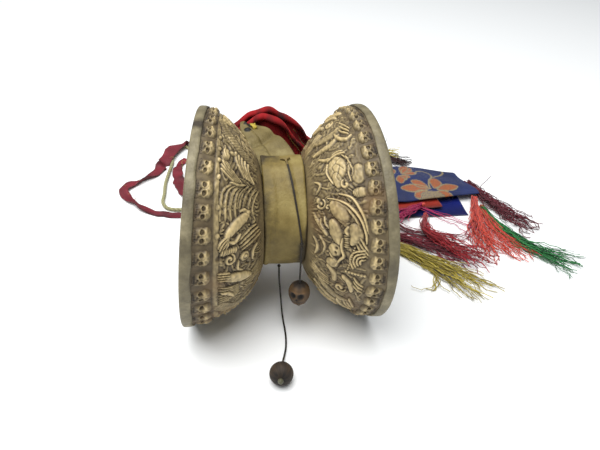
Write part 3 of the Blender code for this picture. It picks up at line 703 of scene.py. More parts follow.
# %% The left bowl's figures
def left_figures(c):
    """One repeat of the robed figure with long arms."""
    c.fan([(70, 15), (74, 17), (80, 20)], [(86, 15), (88, 18), (84, 22)], 6, 1.4, 0.4)
    c.fan([(96, 16), (99, 22), (97, 27)], [(112, 16), (110, 21), (112, 27)], 6, 1.5, 0.4)
    c.ridge([(-8, 42.3), (30, 42.5), (70, 42.2), (112, 42.4)], 3.2, 0.35, tips=(1, 1), cut=0.3,
            flat=0.6)
    c.fan([(35.5, 17), (44, 20), (53, 22), (62, 20)], [(38.5, 33), (43, 38.5), (51, 40.2), (59, 40.4)],
          8, 2.0, 0.35, tips=(0.5, 0.3), cut=0.3)
    c.fan([(37, 19), (45, 23), (54, 25)], [(39, 31), (43, 36), (52, 38.4)], 5, 1.0, 0.7,
          tips=(0.4, 0.2), cut=0.25)
    c.fan([(21, 40), (28, 36.5), (37, 28)], [(31.5, 40.5), (34.5, 37), (38, 32)], 5, 1.7, 1.0)
    c.ridge([(37.2, 26), (38.6, 30), (38.2, 35)], 1.8, 1.0)
    band = [(-6, 40.5), (3, 36), (11, 28), (16, 19)]
    c.ridge(band, 8.5, 0.8, tips=(0.8, 0.5), flat=0.5)
    for k in range(20):
        share = k / 19
        place = smooth_route([(*p, 0) for p in band], 20, per_mm=False)[k]
        c.score([(place[0] - 5 + 2 * share, place[1] - 4), (place[0] + 4 - share, place[1] + 3.4)],
                0.7, 0.4)
    for k in range(5):
        c.ridge([(17 + 0.8 * k, 31.5 - 1.9 * k), (23.5 + 0.9 * k, 31 - 1.8 * k),
                   (32.5 + 0.3 * k, 26.5 - 1.5 * k)], 2.3, 1.5, tips=(0.7, 0.3), cut=0.4)
    c.lobe(22, 37.2, (9.5, 6), 1.9, turn=12, flat=0.8)
    c.lobe(19.5, 33.6, (3.4, 5), 1.6)
    c.ridge([(18, 38.5), (21.5, 38.8), (25, 37.4)], 1.3, 2.2, cut=0.3)
    c.sink(21, 36, (2.4, 1.6), 0.5)
    for angle, high in ((12, 1.2), (20, 1.0), (27, 1.5), (36.5, 1.7), (52, 0.8), (66, 0.9)):
        c.lobe(angle, 41.6, (3.6, 3.0), high, cut=0.35)
    c.fan([(63, 20), (66, 25), (71, 31)], [(71, 17), (74, 22), (77, 29)], 4, 2.0, 0.9)
    c.ridge([(54.8, 25.2), (58.5, 28.4), (62.5, 33), (67, 37)], 7.0, 2.0, tips=(0.6, 0.45),
            flat=0.8)
    c.ridge([(55, 25), (53, 27), (54, 30)], 2.6, 1.2)
    for k, reach in enumerate((41.6, 41, 40, 39)):
        c.ridge([(66.5 + 1.1 * k, 36.0), (69.6 + 1.5 * k, reach - 1.6),
                   (72.5 + 1.6 * k, reach - 0.3)], 1.35, 1.75, tips=(0.9, 0.6), cut=0.35)
    for k in range(7):
        c.lobe(75.5, 32.5 + 1.15 * k, (4.4, 1.3), 1.2, turn=14)
    c.ridge([(99.5, 25), (95.5, 30), (92, 36)], 7.4, 1.8, tips=(0.5, 0.8), flat=0.8)
    for k in range(4):
        c.ridge([(88.5 + 1.7 * k, 36), (87.4 + 1.6 * k, 38.8), (86.8 + 1.5 * k, 41.3)],
                1.3, 1.6, tips=(0.9, 0.6), cut=0.35)
    c.fan([(96, 41), (99, 37), (101, 31)], [(112, 41), (111, 37), (108, 31)], 8, 1.3, 0.9)
    c.ridge([(101, 40), (104, 36.5), (109, 34)], 3.2, 1.4, tips=(0.15, 0.1))
    c.lobe(82, 27.5, (6.4, 7.4), 1.5, flat=0.7)
    c.lobe(82, 27.5, (2.6, 3.0), 1.9, cut=0.6)
    c.coil(80.5, 35.5, 3.8, 1.3, 1.6, 1.0, start=200)
    c.ridge([(67, 30), (71, 33), (70, 36)], 2.6, 1.3)
    c.ridge([(78, 20), (82, 22.5), (88, 23)], 2.6, 1.2)
    c.ridge([(83, 31), (88, 31.5), (91, 29)], 2.0, 1.1)
    c.sink(30, 31.5, (3, 4), 0.6)
    c.sink(62, 23, (5, 3), 0.8)
    c.sink(78, 41, (4, 3), 0.7)


# %% The right bowl's figures
def right_figures(c):
    """One repeat of the dancer with a scarf, a striped coil and an animal."""
    c.ridge([(-7, 21), (-1, 26), (2, 32), (0, 38)], 6.4, 1.1, tips=(0.3, 0.5), flat=0.7)
    c.ridge([(7, 20), (9, 25), (10, 30), (6, 35)], 4.6, 1.3, tips=(0.3, 0.4), flat=0.8)
    c.ridge([(3, 33), (9, 34.5), (13, 38), (12, 42)], 3.4, 1.4)
    c.fan([(-4, 38), (1, 40), (6, 42)], [(2, 36), (6, 37.6), (10, 40.5)], 3, 1.9, 1.0)
    c.ridge([(15, 22), (19, 25), (21, 29)], 2.6, 0.9)
    c.lobe(36.5, 41.2, (13, 9), 0.9, flat=0.4)
    c.ridge([(22, 34), (28, 37), (34, 36.2), (40, 37)], 1.4, 1.0)
    c.lobe(29.5, 30.6, (17, 13), 1.8, turn=8, flat=0.55)
    c.ridge([(35, 29.6), (38, 30.3), (40.5, 30.6)], 6.4, 1.3, tips=(0.9, 0.6), flat=0.6)
    for crack in ([(23.5, 33.4), (26.5, 30.6), (29, 32.4), (32.5, 31.4)],
                  [(26.5, 30.6), (28.5, 28.6), (31.5, 29.2), (34, 27.9)],
                  [(29, 32.4), (31.6, 34.2)], [(32.5, 31.4), (35.5, 30.4), (38, 31.4)]):
        c.score(crack, 0.5, 0.8)
    c.ridge([(24, 26.2), (29, 25.2), (34, 26.2), (39, 28)], 1.5, 1.6, tips=(0.5, 0.5))
    c.ridge([(21.6, 26.5), (20.4, 31), (21.6, 36)], 1.9, 1.5, tips=(0.6, 0.3))
    c.ridge([(19.4, 28.5), (18.6, 32), (19.6, 35)], 1.3, 1.0)
    c.coil(40.8, 34.2, 3.3, 0.72, 2.0, 1.6, start=210)
    c.fan([(24, 36), (27, 37), (30, 36)], [(30, 37.6), (34, 38.6), (37, 37.6)], 3, 1.2, 0.9)
    c.lobe(46.4, 40.8, (6.4, 9.6), 1.6, flat=0.55)
    for k in range(4):
        c.score([(43.8, 38 + 0.85 * k), (46.2, 37.3 + 0.9 * k), (48.8, 38 + 0.85 * k)],
                0.45, 0.6)
    c.coil(50.5, 20.8, 3.4, 1.2, 1.7, 1.2, start=150, way=-1)
    c.coil(53.2, 24.4, 2.4, 0.9, 1.5, 1.2, start=20)
    c.lobe(47, 19.5, (4, 3.4), 1.0)
    for route, high in (([(47, 24.6), (49.6, 30), (53, 35), (60, 40.2), (67, 42.6), (73, 43)], 1.8),
                        ([(45.6, 30.4), (48.6, 36.2), (53.4, 39.4), (60, 42.2), (68, 44)], 1.5),
                        ([(48.4, 25.4), (51, 30), (55, 34.2), (61, 38.2), (67, 40.4)], 1.2)):
        c.ridge(route, 1.9, high, tips=(0.4, 0.3), cut=0.4)
    c.ridge([(51.5, 26.8), (55, 29.2), (59.6, 32.2)], 9.6, 2.0, tips=(0.55, 0.75), flat=0.8)
    for k in range(4):
        c.ridge([(60.8 + k, 29.4 + 0.9 * k), (62.2 + 0.9 * k, 31.6 + 0.9 * k),
                   (61.6 + k, 34 + 0.8 * k)], 1.5, 1.3 - 0.1 * k, cut=0.35)
    c.ridge([(63.6, 26.6), (68.5, 27.8), (75.5, 30.6)], 8.8, 1.9, tips=(0.75, 0.35), flat=0.8)
    c.ridge([(65.6, 37.2), (69.5, 38), (74, 36)], 8.6, 1.9, tips=(0.85, 0.3), flat=0.8)
    c.ridge([(64.5, 34.4), (67, 33.2), (69.4, 34.4)], 2.8, 1.7)
    c.fan([(70, 40), (74, 42), (78.5, 45)], [(73.5, 38), (77, 40), (80.5, 43.4)], 3, 1.6, 1.2)
    for k in range(6):
        c.lobe(70 + 1.25 * k, 33.4, (1.3, 4.4), 1.2, cut=0.3)
    c.ridge([(56.5, 16.8), (62, 18.6), (67, 20.8), (71.5, 23.6)], 3.4, 1.2, tips=(0.5, 0.6))
    for k in range(4):
        c.score([(58 + 3.2 * k, 16.4 + 1.6 * k), (57 + 3.2 * k, 20 + 1.6 * k)], 0.5, 0.5)
    c.ridge([(59, 22.4), (64, 23), (67, 25)], 1.8, 1.2)
    c.ridge([(60.5, 20.6), (65, 20.6), (68, 22)], 1.4, 1.0)
    c.ridge([(77, 17), (84, 19), (92, 18)], 3.0, 0.8)
    c.ridge([(74, 20), (80, 22.6), (86, 22)], 2.4, 0.9)
    c.ridge([(71.5, 31.6), (78, 31), (82.5, 32.4), (86, 30.6), (91, 29)], 2.0, 1.9, cut=0.7)
    c.lobe(80.4, 27.8, (9, 9.4), 1.6, flat=0.7)
    c.sink(78.6, 28.8, (1.9, 1.7), 1.3)
    c.sink(81.6, 28.6, (1.9, 1.7), 1.3)
    c.ridge([(83, 25.4), (86, 26.8), (88, 29.4)], 1.4, 1.3)
    c.lobe(90.6, 26.8, (7.4, 9.6), 1.7, turn=20, flat=0.7)
    for k in range(4):
        swing = 1.7 + 1.55 * k
        c.ridge([(83.8 - 1.15 * swing, 42.5), (83.8 - 0.8 * swing, 42 - 0.75 * swing),
                   (83.8, 41.8 - swing), (83.8 + 0.8 * swing, 42 - 0.75 * swing)], 1.5, 1.6,
                tips=(0.6, 0.4), cut=0.35)
    c.beads((76, 37.4), (90.5, 34.6), 11, 1.2, 1.5)
    c.beads((92.4, 34), (92, 43), 7, 1.8, 1.1)
    c.ridge([(94, 25), (98, 28), (103, 29)], 4.6, 1.5, tips=(0.5, 0.8))
    c.ridge([(97, 33), (101, 36.5), (107, 38)], 4.0, 1.4, tips=(0.7, 0.5))
    c.coil(108, 32.5, 3.8, 1.2, 1.9, 1.3, start=90, way=-1)
    c.fan([(95, 38), (98, 40), (100, 43)], [(101, 38), (104, 41), (105, 43)], 3, 1.5, 1.1)
    c.fan([(104, 17), (107, 21), (106, 26)], [(113, 16), (114, 21), (112, 27)], 4, 1.7, 0.8)
    c.ridge([(31, 18.5), (36, 21), (42, 18.5)], 2.2, 0.6)


# %% The bowls as closed shells
COLUMNS = 760


def bowl(name, side, figures, seed):
    """A closed bowl with its carving."""
    degrees = np.linspace(0, 360, COLUMNS, endpoint=False)
    distances = np.concatenate([[RIM, 57.0, 54.6, 54.0], np.linspace(53.2, 45.0, 8),
                                np.linspace(44.0, 30.0, 38), np.linspace(29.6, 17.6, 37),
                                np.array([17.1, 16.5, 15.9, 15.3, 14.7, SHOULDER])])
    carving = Carving(degrees, distances, -0.4)
    ground_curls(carving, seed, 620)
    for carving.turn in (0, 120, 240):
        figures(carving)
    tooling = blur(np.random.default_rng(seed).normal(size=carving.height.shape), (1.3, 1.0))
    height = carving.height + 0.40 * tooling
    band = np.clip((distances - 43.4) / 0.8, 0, 1) * np.clip((54.2 - distances) / 0.4, 0, 1)
    height = height * (1 - band) + (0.25 * tooling - 0.15) * band
    height = height * np.clip((54.3 - distances) / 0.4, 0, 1)
    height = np.clip(height, -1.25, 2.1) * (0.12 + 0.88 * ease((distances - 15.0) / 3.5))
    step = 2 * math.pi * 58 / COLUMNS
    near = blur(height, (0.9 / step, 0.9 / 0.4))
    wide = blur(height, (2.6 / step, 2.6 / 0.4))
    # Painted shade with real grime: the value falls in cuts and hollows below the blurred surface and
    # rises on high, polished places. The band under the skulls is darkened as painted shade between
    # them.
    wear = 0.485 + 0.31 * (height - near) + 0.15 * (height - wide) + 0.16 * height
    wear = wear - 0.14 * band
    wear = np.where(distances > 54.1, 0.4, np.clip(wear, 0.0, 1.0))
    placed_distance, placed_radius = lifted(distances[None, :] + 0 * height, height)
    placed_distance = np.where(distances > 54.1, distances, placed_distance)
    inner = [(SHOULDER, NECK_RADIUS), (NECK_FACE, NECK_RADIUS), (NECK_FACE, BORE_RADIUS),
             (NECK_FLOOR, BORE_RADIUS), (NECK_FLOOR, float(bowl_radius(NECK_FLOOR)) - 15),
             (25.0, float(bowl_radius(25.0)) - BOWL_WALL), (35.0, float(bowl_radius(35)) - 5),
             (47.0, float(bowl_radius(47.0)) - BOWL_WALL), (RIM, RIM_RADIUS - BOWL_WALL)]
    rows_d = np.concatenate([placed_distance, np.tile([p[0] for p in inner], (COLUMNS, 1))], 1)
    rows_r = np.concatenate([placed_radius, np.tile([p[1] for p in inner], (COLUMNS, 1))], 1)
    rows_w = np.concatenate([wear, np.full((COLUMNS, len(inner)), 0.35)], 1)
    angle = np.repeat(degrees[:, None], rows_d.shape[1], axis=1)
    points = on_drum(side, angle, rows_d, rows_r).reshape(-1, 3)
    faces = grid_faces(COLUMNS, rows_d.shape[1], wrap_rows=True, wrap_columns=True)
    if side > 0:
        faces = faces[:, ::-1]
    shell = mesh_object(name, points, faces, BONE, values={"wear": rows_w.ravel()})
    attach(shell, "drum")
    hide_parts(name.replace("carved_", ""))
    print(name, len(faces), "faces, relief", round(float(height.min()), 2), "to",
          round(float(height.max()), 2), "mm")
    return shell


bowl("carved_left_bowl", -1, left_figures, 11)
bowl("carved_right_bowl", 1, right_figures, 23)

# %% [markdown]
# ## Rawhide heads
# The heads are thin goatskin, soaked, stretched over the rim and glued down its outside. Drying pulls
# the fold into shallow puckers and leaves its cut edge uneven. The skin is yellow-grey and blotched,
# a little glossy where hands have worn it.

# %% A mottled organic finish for hide and leather
def skin_finish(name, low, mid, high, stain, blotch=42.0, roughness=0.62, grain=900.0, bumps=0.3):
    """Hide or leather: three tones in two sizes of blotch, a painted stain that also carries
    painted shade on the belt and tab, and fine grain.
    """
    material, tree, shader, place, _ = finish(name, Roughness=roughness, IOR=1.45)
    cloud = add(tree, "ShaderNodeTexNoise", {"Vector": place, "Scale": blotch, "Detail": 6.0,
                                             "Roughness": 0.62})
    tone = add(tree, "ShaderNodeValToRGB", {0: cloud}, ((0.33, low), (0.50, mid), (0.68, high)))
    # The stain attribute holds real stains, and on the belt and tab painted shade as well.
    dirt_and_shade = add(tree, "ShaderNodeAttribute", attribute_name="stain").outputs["Fac"]
    ragged = add(tree, "ShaderNodeTexNoise", {"Vector": place, "Scale": 260.0, "Detail": 4.0})
    both = ("ADD", dirt_and_shade, ("MULTIPLY_ADD", ragged, 0.8, -0.4))
    share = add(tree, "ShaderNodeMapRange", {0: both, 1: 0.25, 2: 0.85})
    mixed = add(tree, "ShaderNodeMix", {0: share, 6: tone, 7: stain}, data_type="RGBA")
    pores = add(tree, "ShaderNodeTexVoronoi", {"Vector": place, "Scale": grain})
    wrinkle = add(tree, "ShaderNodeTexNoise", {"Vector": place, "Scale": grain * 0.35,
                                               "Detail": 5.0})
    bump = add(tree, "ShaderNodeBump", {"Height": ("ADD", pores, wrinkle), "Strength": bumps,
                                        "Distance": 0.0005})
    feed(shader, {"Base Color": mixed.outputs[2], "Normal": bump})
    return material


RAWHIDE = skin_finish("aged_goat_rawhide", "#5b5340", "#726950", "#8f8569", "#3a3226", 75.0, 0.55,
                      700.0, 0.35)
BELT_LEATHER = skin_finish("vegetable_tanned_belt_leather", "#5d4f22", "#766533", "#8f7f4a",
                           "#3c321b")
# The tab's near-black stain colour is painted shade, for its holes and the crease of its pleat.
TAB_LEATHER = skin_finish("folded_tab_leather", "#574a26", "#706239", "#8c7f53", "#0d0b07")


# %% The heads
def head(name, side, seed):
    """The stretched skin and its glued fold, one closed mesh of turned rows."""
    rng = np.random.default_rng(seed)
    degrees = np.linspace(0, 360, 300, endpoint=False)
    angle = np.radians(degrees)

    def wave(low, high, size):
        total = np.zeros_like(angle)
        for k in range(low, high):
            total += np.sin(k * angle + rng.uniform(0, 6.3)) * rng.uniform(0.3, 1)
        return size * total / math.sqrt(high - low)

    edge = 54.0 + wave(3, 22, 0.55)
    pucker = wave(14, 70, 0.10)
    rows = [(HEAD_FACE, 0.01, 0), (HEAD_FACE, 30, 0), (HEAD_FACE, 55, 0), (HEAD_FACE, 68, 0),
            (HEAD_FACE, 72.8, 0), (60.45, 74.0, 0.2), (60.0, 74.62, 0.6), (59.3, 74.93, 0.8),
            (58.2, 74.98, 0.7), (57.0, 74.92, 1), (56.0, 74.86, 1.2), (55.2, 74.72, 1.6),
            (0.55, 74.5, 2), (0.12, 74.2, 2), (0, 73.8, 1.6), (0.1, 73.35, 0), (0.9, 73.5, 0),
            (57.5, 73.95, 0), (59.65, 74.0, 0), (59.7, 70, 0), (59.7, 40, 0), (59.7, 0.01, 0)]
    distance, radius, share = np.array(rows).T
    grid_d = distance + (distance < 2) * edge[:, None]
    grid_r = np.minimum(radius + share * pucker[:, None], HEAD_RADIUS)
    points = on_drum(side, np.repeat(degrees[:, None], len(rows), 1), grid_d, grid_r)
    near = np.exp(-(((degrees[:, None] - 7 + 180) % 360 - 180) / 3.2) ** 2) * (side < 0)
    stain = 0.9 * near * ease((grid_r - 66) / 6) + 0.12
    stain = stain + 0.25 * (grid_d < edge[:, None] + 0.4) * (grid_r > 72)
    skin = face_out(mesh_object(name, points, grid_faces(len(degrees), len(rows), True), RAWHIDE,
                                values={"stain": stain}))
    stand_for(skin, name.replace("stretched_", ""))
    print(name, len(skin.data.polygons), "faces")


head("stretched_left_drumhead", -1, 3)
head("stretched_right_drumhead", 1, 8)

# %% [markdown]
# ## Strips
# Belts, ribbons and cloth leaves are all strips: a width carried along a route. A strip is made as two
# sheets a thickness apart, joined round the edges, so it is closed. A field of offsets bends it out of
# its own plane for folds and creases, and its UVs are true metres, so a weave keeps its scale.

# %% One strip tool
def strip(name, centre, across, widths, thickness, columns, material, values, offset=0.0,
          slide=0.0, placed=None):
    """A closed strip. offset is a rows by columns field off the middle, slide one along it.
    placed gives the middle sheet's points outright."""
    rows, across = len(centre), unit(across)
    ahead = unit(np.gradient(centre, axis=0))
    normal = unit(np.cross(ahead, across))
    sideways = np.linspace(-1, 1, columns) * widths[:, None] / 2
    offset, slide = (np.broadcast_to(field, sideways.shape)[..., None] for field in (offset, slide))
    points = (centre[:, None] + across[:, None] * sideways[..., None] + normal[:, None] * offset
              + ahead[:, None] * slide)
    points = points if placed is None else placed
    facing = unit(np.cross(np.gradient(points, axis=0), np.gradient(points, axis=1)))
    half = np.full((rows, columns, 1), thickness / 2)
    half[:, [0, -1]] *= EDGE_ROUND
    half[[0, -1], :] *= EDGE_ROUND
    faces = grid_faces(rows, columns)
    loop = np.array(grid_rim(rows, columns))
    after, under = np.roll(loop, -1), rows * columns
    side = np.stack([after, loop, loop + under, after + under], axis=-1)
    along = run_along(centre)
    uv = np.stack([along[:, None] + 0 * sideways, sideways], axis=-1).reshape(-1, 2)
    obj = mesh_object(name, np.stack([points + facing * half, points - facing * half]),
                      np.vstack([faces, faces[:, ::-1] + under, side]), material,
                      uvs=np.vstack([uv, uv]),
                      values={key: np.tile(np.ravel(value), 2) for key, value in values.items()})
    face_out(obj, merge=False)
    obj["flat_area"] = float(((widths[1:] + widths[:-1]) / 2 * np.diff(along)).sum())
    obj["flat_length"] = float(along[-1])
    return obj


EDGE_ROUND = 0.35

# %% [markdown]
# ## Belt and tab
# The waist is wrapped in one wide strap of soft leather, pulled round the necks and left with a plain
# cut end on top. The cord under it presses a long dent, and age has bent its edges. A second piece of
# leather, the tab, comes out from under the cut end, folds over and carries the tail's silk tie.

# %% The belt
BELT_RADIUS, BELT_WIDTH, LEATHER = 35.0, 28.0, 2.2
LAP_RISE, LAP_END, LAP_FOOT, BELT_TAIL = 6.8, -14.0, 60.0, 325.0


def belt_ring(degrees):
    """The belt's middle radius: it rises over the tab towards its cut end."""
    return BELT_RADIUS - LEATHER / 2 + LAP_RISE * ease((LAP_FOOT - degrees) / (LAP_FOOT - LAP_END))


def round_waist(degrees, radius, x):
    """Points round the waist in the row frame, from millimetres."""
    angle = np.radians(degrees)
    return np.stack([x * MM + WAIST.x + 0 * angle, -radius * np.sin(angle) * MM + WAIST.y,
                     radius * np.cos(angle) * MM + WAIST.z], axis=-1)


BELT_ROWS, BELT_COLUMNS = 260, 41
turn = np.linspace(LAP_END, BELT_TAIL, BELT_ROWS)[:, None]
belt_line = round_waist(turn[:, 0], belt_ring(turn[:, 0]), 0.0)
x_share = np.linspace(-1, 1, BELT_COLUMNS)[None, :]
x_mm = x_share * BELT_WIDTH / 2


def groove(where, width):
    """A smooth bump of unit height across the belt at x millimetres."""
    return np.exp(-((x_mm - where) / width) ** 2)


dent_x = 2.4 + 7.9 * np.clip((turn + 3) / 91, 0, 1)
reach = ease((turn + 10) / 12) * ease((110 - turn) / 20)
dent = -0.55 * groove(dent_x, 1.5) + 0.35 * groove(dent_x + 3.2, 1.7)
crease = -0.5 * groove(2.5 * np.sin(np.radians(turn * 2)) - 9.5, 1.3) * ease((turn - 5) / 25)
lap_dip = -0.5 * np.exp(-((turn - 8) / 5.5) ** 2) * (1 - 0.4 * x_share ** 2)
soft = 0.16 * smooth_noise(BELT_ROWS, BELT_COLUMNS, (7, 4), 5)
edge_curl = -0.35 * np.abs(x_share) ** 8
bulge = (reach * dent + crease + lap_dip + soft + edge_curl) * MM
end_wave = 0.5 * MM * smooth_noise(1, BELT_COLUMNS, (0, 5), 9) * np.exp(-((turn - LAP_END) / 4) ** 2)
# Blotchy stain, darker along both edges, with painted shade along the dent that the cord presses in.
belt_stain_and_shade = 0.22 * smooth_noise(BELT_ROWS, BELT_COLUMNS, (12, 5), 6) + 0.10
belt_stain_and_shade += 0.42 * np.abs(x_share) ** 14 + 0.30 * groove(dent_x, 1.1)
belt_widths = (BELT_WIDTH - 0.3 + 0.25 * smooth_noise(BELT_ROWS, 1, (9, 0), 12)[:, 0]) * MM
belt = strip("wrapped_belt", belt_line, np.tile([-1.0, 0, 0], (BELT_ROWS, 1)), belt_widths,
             LEATHER * MM, BELT_COLUMNS, BELT_LEATHER, {"stain": belt_stain_and_shade[:, ::-1]},
             bulge[:, ::-1], end_wave)
stand_for(belt, "waist_belt")
print("belt", round(belt["flat_length"] * 1000), "mm long")

# %% The tab
TAB_ROUTE = [(1, 20.8, 0.2), (0, 10.25, 0.14), (-1.5, -1.65, 1.1), (-3, -15.4, 4.05),
             (-5, -29.5, 11.1), (-9, -39.05, 20.35), (-15, -45.9, 29.05), (-19, -50.95, 35.95)]
tab_knots = [round_waist(angle, NECK_RADIUS + LEATHER / 2 + rise, x) for x, angle, rise in TAB_ROUTE]
tab_rows, tab_columns = 90, 33
tab_line = smooth_route(tab_knots, tab_rows, per_mm=False)
tab_across = interpolated([(1, 0, 0), (1, 0, 0), (1, 0.1, 0), (0.93, 0.36, 0)], tab_rows)
tab_widths = interpolated([23.0, 26.0, 29.5, 31.0, 30.0, 27.0, 22.0, 14.0], tab_rows) * MM
s = np.linspace(0, 1, tab_rows)[:, None]
t = np.linspace(-1, 1, tab_columns)[None, :]
free, pleat_line = ease((s - 0.35) / 0.2), t + 0.5 * (s - 0.6)
fold = 2.0 * np.exp(-((s - 0.70 - 0.10 * t) / 0.035) ** 2) * ease((s - 0.4) / 0.2)
sag = -1.3 * ease((s - 0.55) / 0.3) * (1 - t ** 2) + 1.1 * ease((s - 0.8) / 0.2) * t
pleat = 2.4 * free * ease((pleat_line + 0.34) / 0.16)
tab_soft = 0.22 * smooth_noise(tab_rows, tab_columns, (5, 4), 21)
# Two holes are pressed in as shallow dents and painted near black as the shade seen through a hole.
painted_holes = sum(np.exp(-(((s - along) / long) ** 2 + ((t - side) / wide) ** 2) ** 2)
            for along, long, side, wide in ((0.93, 0.030, -0.30, 0.34), (0.82, 0.022, -0.62, 0.16)))
tab_offset = (fold + sag + pleat + tab_soft - 1.5 * painted_holes) * ease((s - 0.30) / 0.12) * MM
ragged = 1.1 * smooth_noise(1, tab_columns, (0, 1.6), 31) * np.clip((s - 0.95) / 0.05, 0, 1) * MM
# Painted shade: the holes near black, and the pleat's crease and the tab beyond it darker.
tab_stain_and_shade = 0.02 + 0.06 * smooth_noise(tab_rows, tab_columns, (8, 6), 22) + 1.3 * painted_holes
tab_stain_and_shade += free * (0.30 * np.exp(-((pleat_line + 0.30) / 0.05) ** 2) + 0.14 * (pleat_line < -0.34))
tab = strip("folded_tab", tab_line, tab_across, tab_widths, LEATHER * 0.8 * MM, tab_columns,
            TAB_LEATHER, {"stain": tab_stain_and_shade}, tab_offset, ragged)
stand_for(tab, "belt_tab")
print("tab", len(tab.data.polygons), "faces")

# %% [markdown]
# ## Cords
# The striker cords are waxed black thread, a millimetre thick. The hanging cord is three strands of
# olive cotton laid together, so its surface is three lobes that turn as they go. The lacing on the
# belt ends in a small forked leather toggle.

# %% Fibres: one shader for thread, silk and cloth, with its own tones
def thread_finish(name, dark, light, roughness=0.6, sheen=0.3, spread=0.5, tint="#ffffff",
                  weave=0.0, nap=0.0):
    """Thread or cloth whose tone follows the 'shade' attribute, with a woven or napped bump."""
    material, tree, shader, place, uv = finish(name, Roughness=roughness, Sheen_Weight=sheen,
                                               Sheen_Roughness=0.4, Sheen_Tint=tint, IOR=1.45)
    noise = add(tree, "ShaderNodeTexNoise", {"Vector": place, "Scale": 480.0, "Detail": 2.0})
    shade = add(tree, "ShaderNodeAttribute", attribute_name="shade").outputs["Fac"]
    jitter = ("MULTIPLY_ADD", noise, spread, -spread / 2)
    tone = add(tree, "ShaderNodeMath", {0: shade, 1: jitter}, operation="ADD", use_clamp=True)
    mixed = add(tree, "ShaderNodeMix", {0: tone, 6: dark, 7: light}, data_type="RGBA")
    feed(shader, {"Base Color": mixed.outputs[2]})
    if weave:
        height = add(tree, "ShaderNodeTexWave", {"Vector": uv, "Scale": weave, "Distortion": 0.6,
                                                 "Detail": 1.0}).outputs["Fac"]
    if nap:
        height = add(tree, "ShaderNodeTexNoise", {"Vector": place, "Scale": nap, "Detail": 3.0})
    if weave or nap:
        bump = add(tree, "ShaderNodeBump", {"Height": height, "Strength": 0.3, "Distance": 0.0003})
        feed(shader, {"Normal": bump})
    return material


STRIKER_THREAD = thread_finish("waxed_brown_thread", "#1b150d", "#5a4a30", 0.6, 0.1, 0.9)
OLIVE_COTTON = thread_finish("olive_cotton_cord", "#54502f", "#a6a278", 0.85, 0.2)
TOGGLE = thread_finish("tan_lacing_leather", "#4d4022", "#8a7642", 0.65, 0.0)


# %% The laid cotton cord
def declare_cord(obj, node, line, diameter, far_end, lay, body="drum", **more):
    """A free cord stands for its node and rides on its body."""
    stand_for(obj, node, body)


def laid_cord(name, line, diameter, sides, lay, material):
    """A rope surface: three lobes that wind round the line, with painted shade in the grooves
    between the strands and lighter crests.
    """
    _, side, over = frames_along(line)
    angle = np.linspace(0, 2 * math.pi, sides, endpoint=False)[None, :]
    lobe = np.abs(np.cos(1.5 * (angle - 2 * math.pi * run_along(line)[:, None] / lay))) ** 0.55
    radius = diameter / 2 * (0.66 + 0.36 * lobe)
    radius[[0, -1]] *= 0.35
    points = line[:, None] + radius[..., None] * (np.cos(angle)[..., None] * side[:, None]
                                                  + np.sin(angle)[..., None] * over[:, None])
    faces = grid_faces(len(line), sides, wrap_columns=True).tolist() + tube_caps(len(line), sides)
    # The shade attribute is painted shade: darkest in the grooves between the strands.
    return face_out(mesh_object(name, points, faces, material,
                                values={"shade": 0.05 + 0.85 * lobe}))


olive = laid_cord("laid_olive_cord", olive_line, OLIVE_DIAMETER, 16, 0.0125, OLIVE_COTTON)
declare_cord(olive, "hanging_cord", olive_line, OLIVE_DIAMETER, "object", "loose",
             path=olive_line[::2])


# %% The striker cords
def open_curve(name, points):
    """A curve of one straight-segment spline."""
    curve = bpy.data.curves.new(name, "CURVE")
    curve.dimensions = "3D"
    spline = curve.splines.new("POLY")
    spline.points.add(len(points) - 1)
    for target, point in zip(spline.points, points):
        target.co = (*point, 1.0)
    return curve


def thin_cord(name, points):
    """A plain round thread: a curve of one spline with a bevel."""
    curve = open_curve(name, points)
    curve.bevel_depth = STRIKER_DIAMETER / 2
    curve.bevel_resolution = 3
    curve.use_fill_caps = True
    curve.materials.append(STRIKER_THREAD)
    return link_new(name, curve)


BEAD_GAP, BORE_END = 0.3, 14.8
front_hitch = sum(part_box("front_cord_hitch"), Vector()) / 2
route_end, before = np.array(FRONT_CORD_ROUTE[-1]), np.array(FRONT_CORD_ROUTE[-2])
bead_axis = unit(route_end - before)
bead_bottom = route_end + bead_axis * BORE_END
cord_top = (np.array(front_hitch) - np.array(GROUND)) / MM - [0, 0, 1.5]
front_line = even_route([cord_top, *FRONT_CORD_ROUTE, bead_bottom], 90)
declare_cord(thin_cord("front_waxed_cord", front_line), "front_striker_cord", front_line,
             STRIKER_DIAMETER, "knot", "loose", "front_striker",
             with_pieces=["front_bead", "front_bead_stopper"])
skull_low, skull_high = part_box("skull_striker_cord")
middle = (skull_low + skull_high) / 2
skull_line = np.linspace([*middle.xy, skull_high.z], [*middle.xy, skull_low.z], 40)
declare_cord(thin_cord("skull_waxed_cord", skull_line), "skull_striker_cord", skull_line,
             STRIKER_DIAMETER, "knot", "hanging", "skull_striker",
             with_pieces=["skull_bead", "skull_bead_stopper"])

# %% The lacing over the belt, and its toggle
hitch_x = (sum(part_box("skull_cord_hitch"), Vector()) / 2).x - WAIST.x
lace = []
for share in np.linspace(0, 1, 13):
    angle = -3 + 91 * share
    lace.append(round_waist(angle, float(belt_ring(angle)) + 2.05,
                            2.4 + (hitch_x / MM - 2.4) * share))
lace[-1] = np.array(WAIST) + [hitch_x, -0.0365, 0.0015]
lace_line = smooth_route(lace, 70, per_mm=False)
declare_cord(thin_cord("belt_waxed_cord", lace_line), "belt_cord", lace_line, STRIKER_DIAMETER,
             "object", "taut")


def on_lap(degrees, x, rise):
    return round_waist(degrees, float(belt_ring(degrees)) + 1.1 + rise, x)


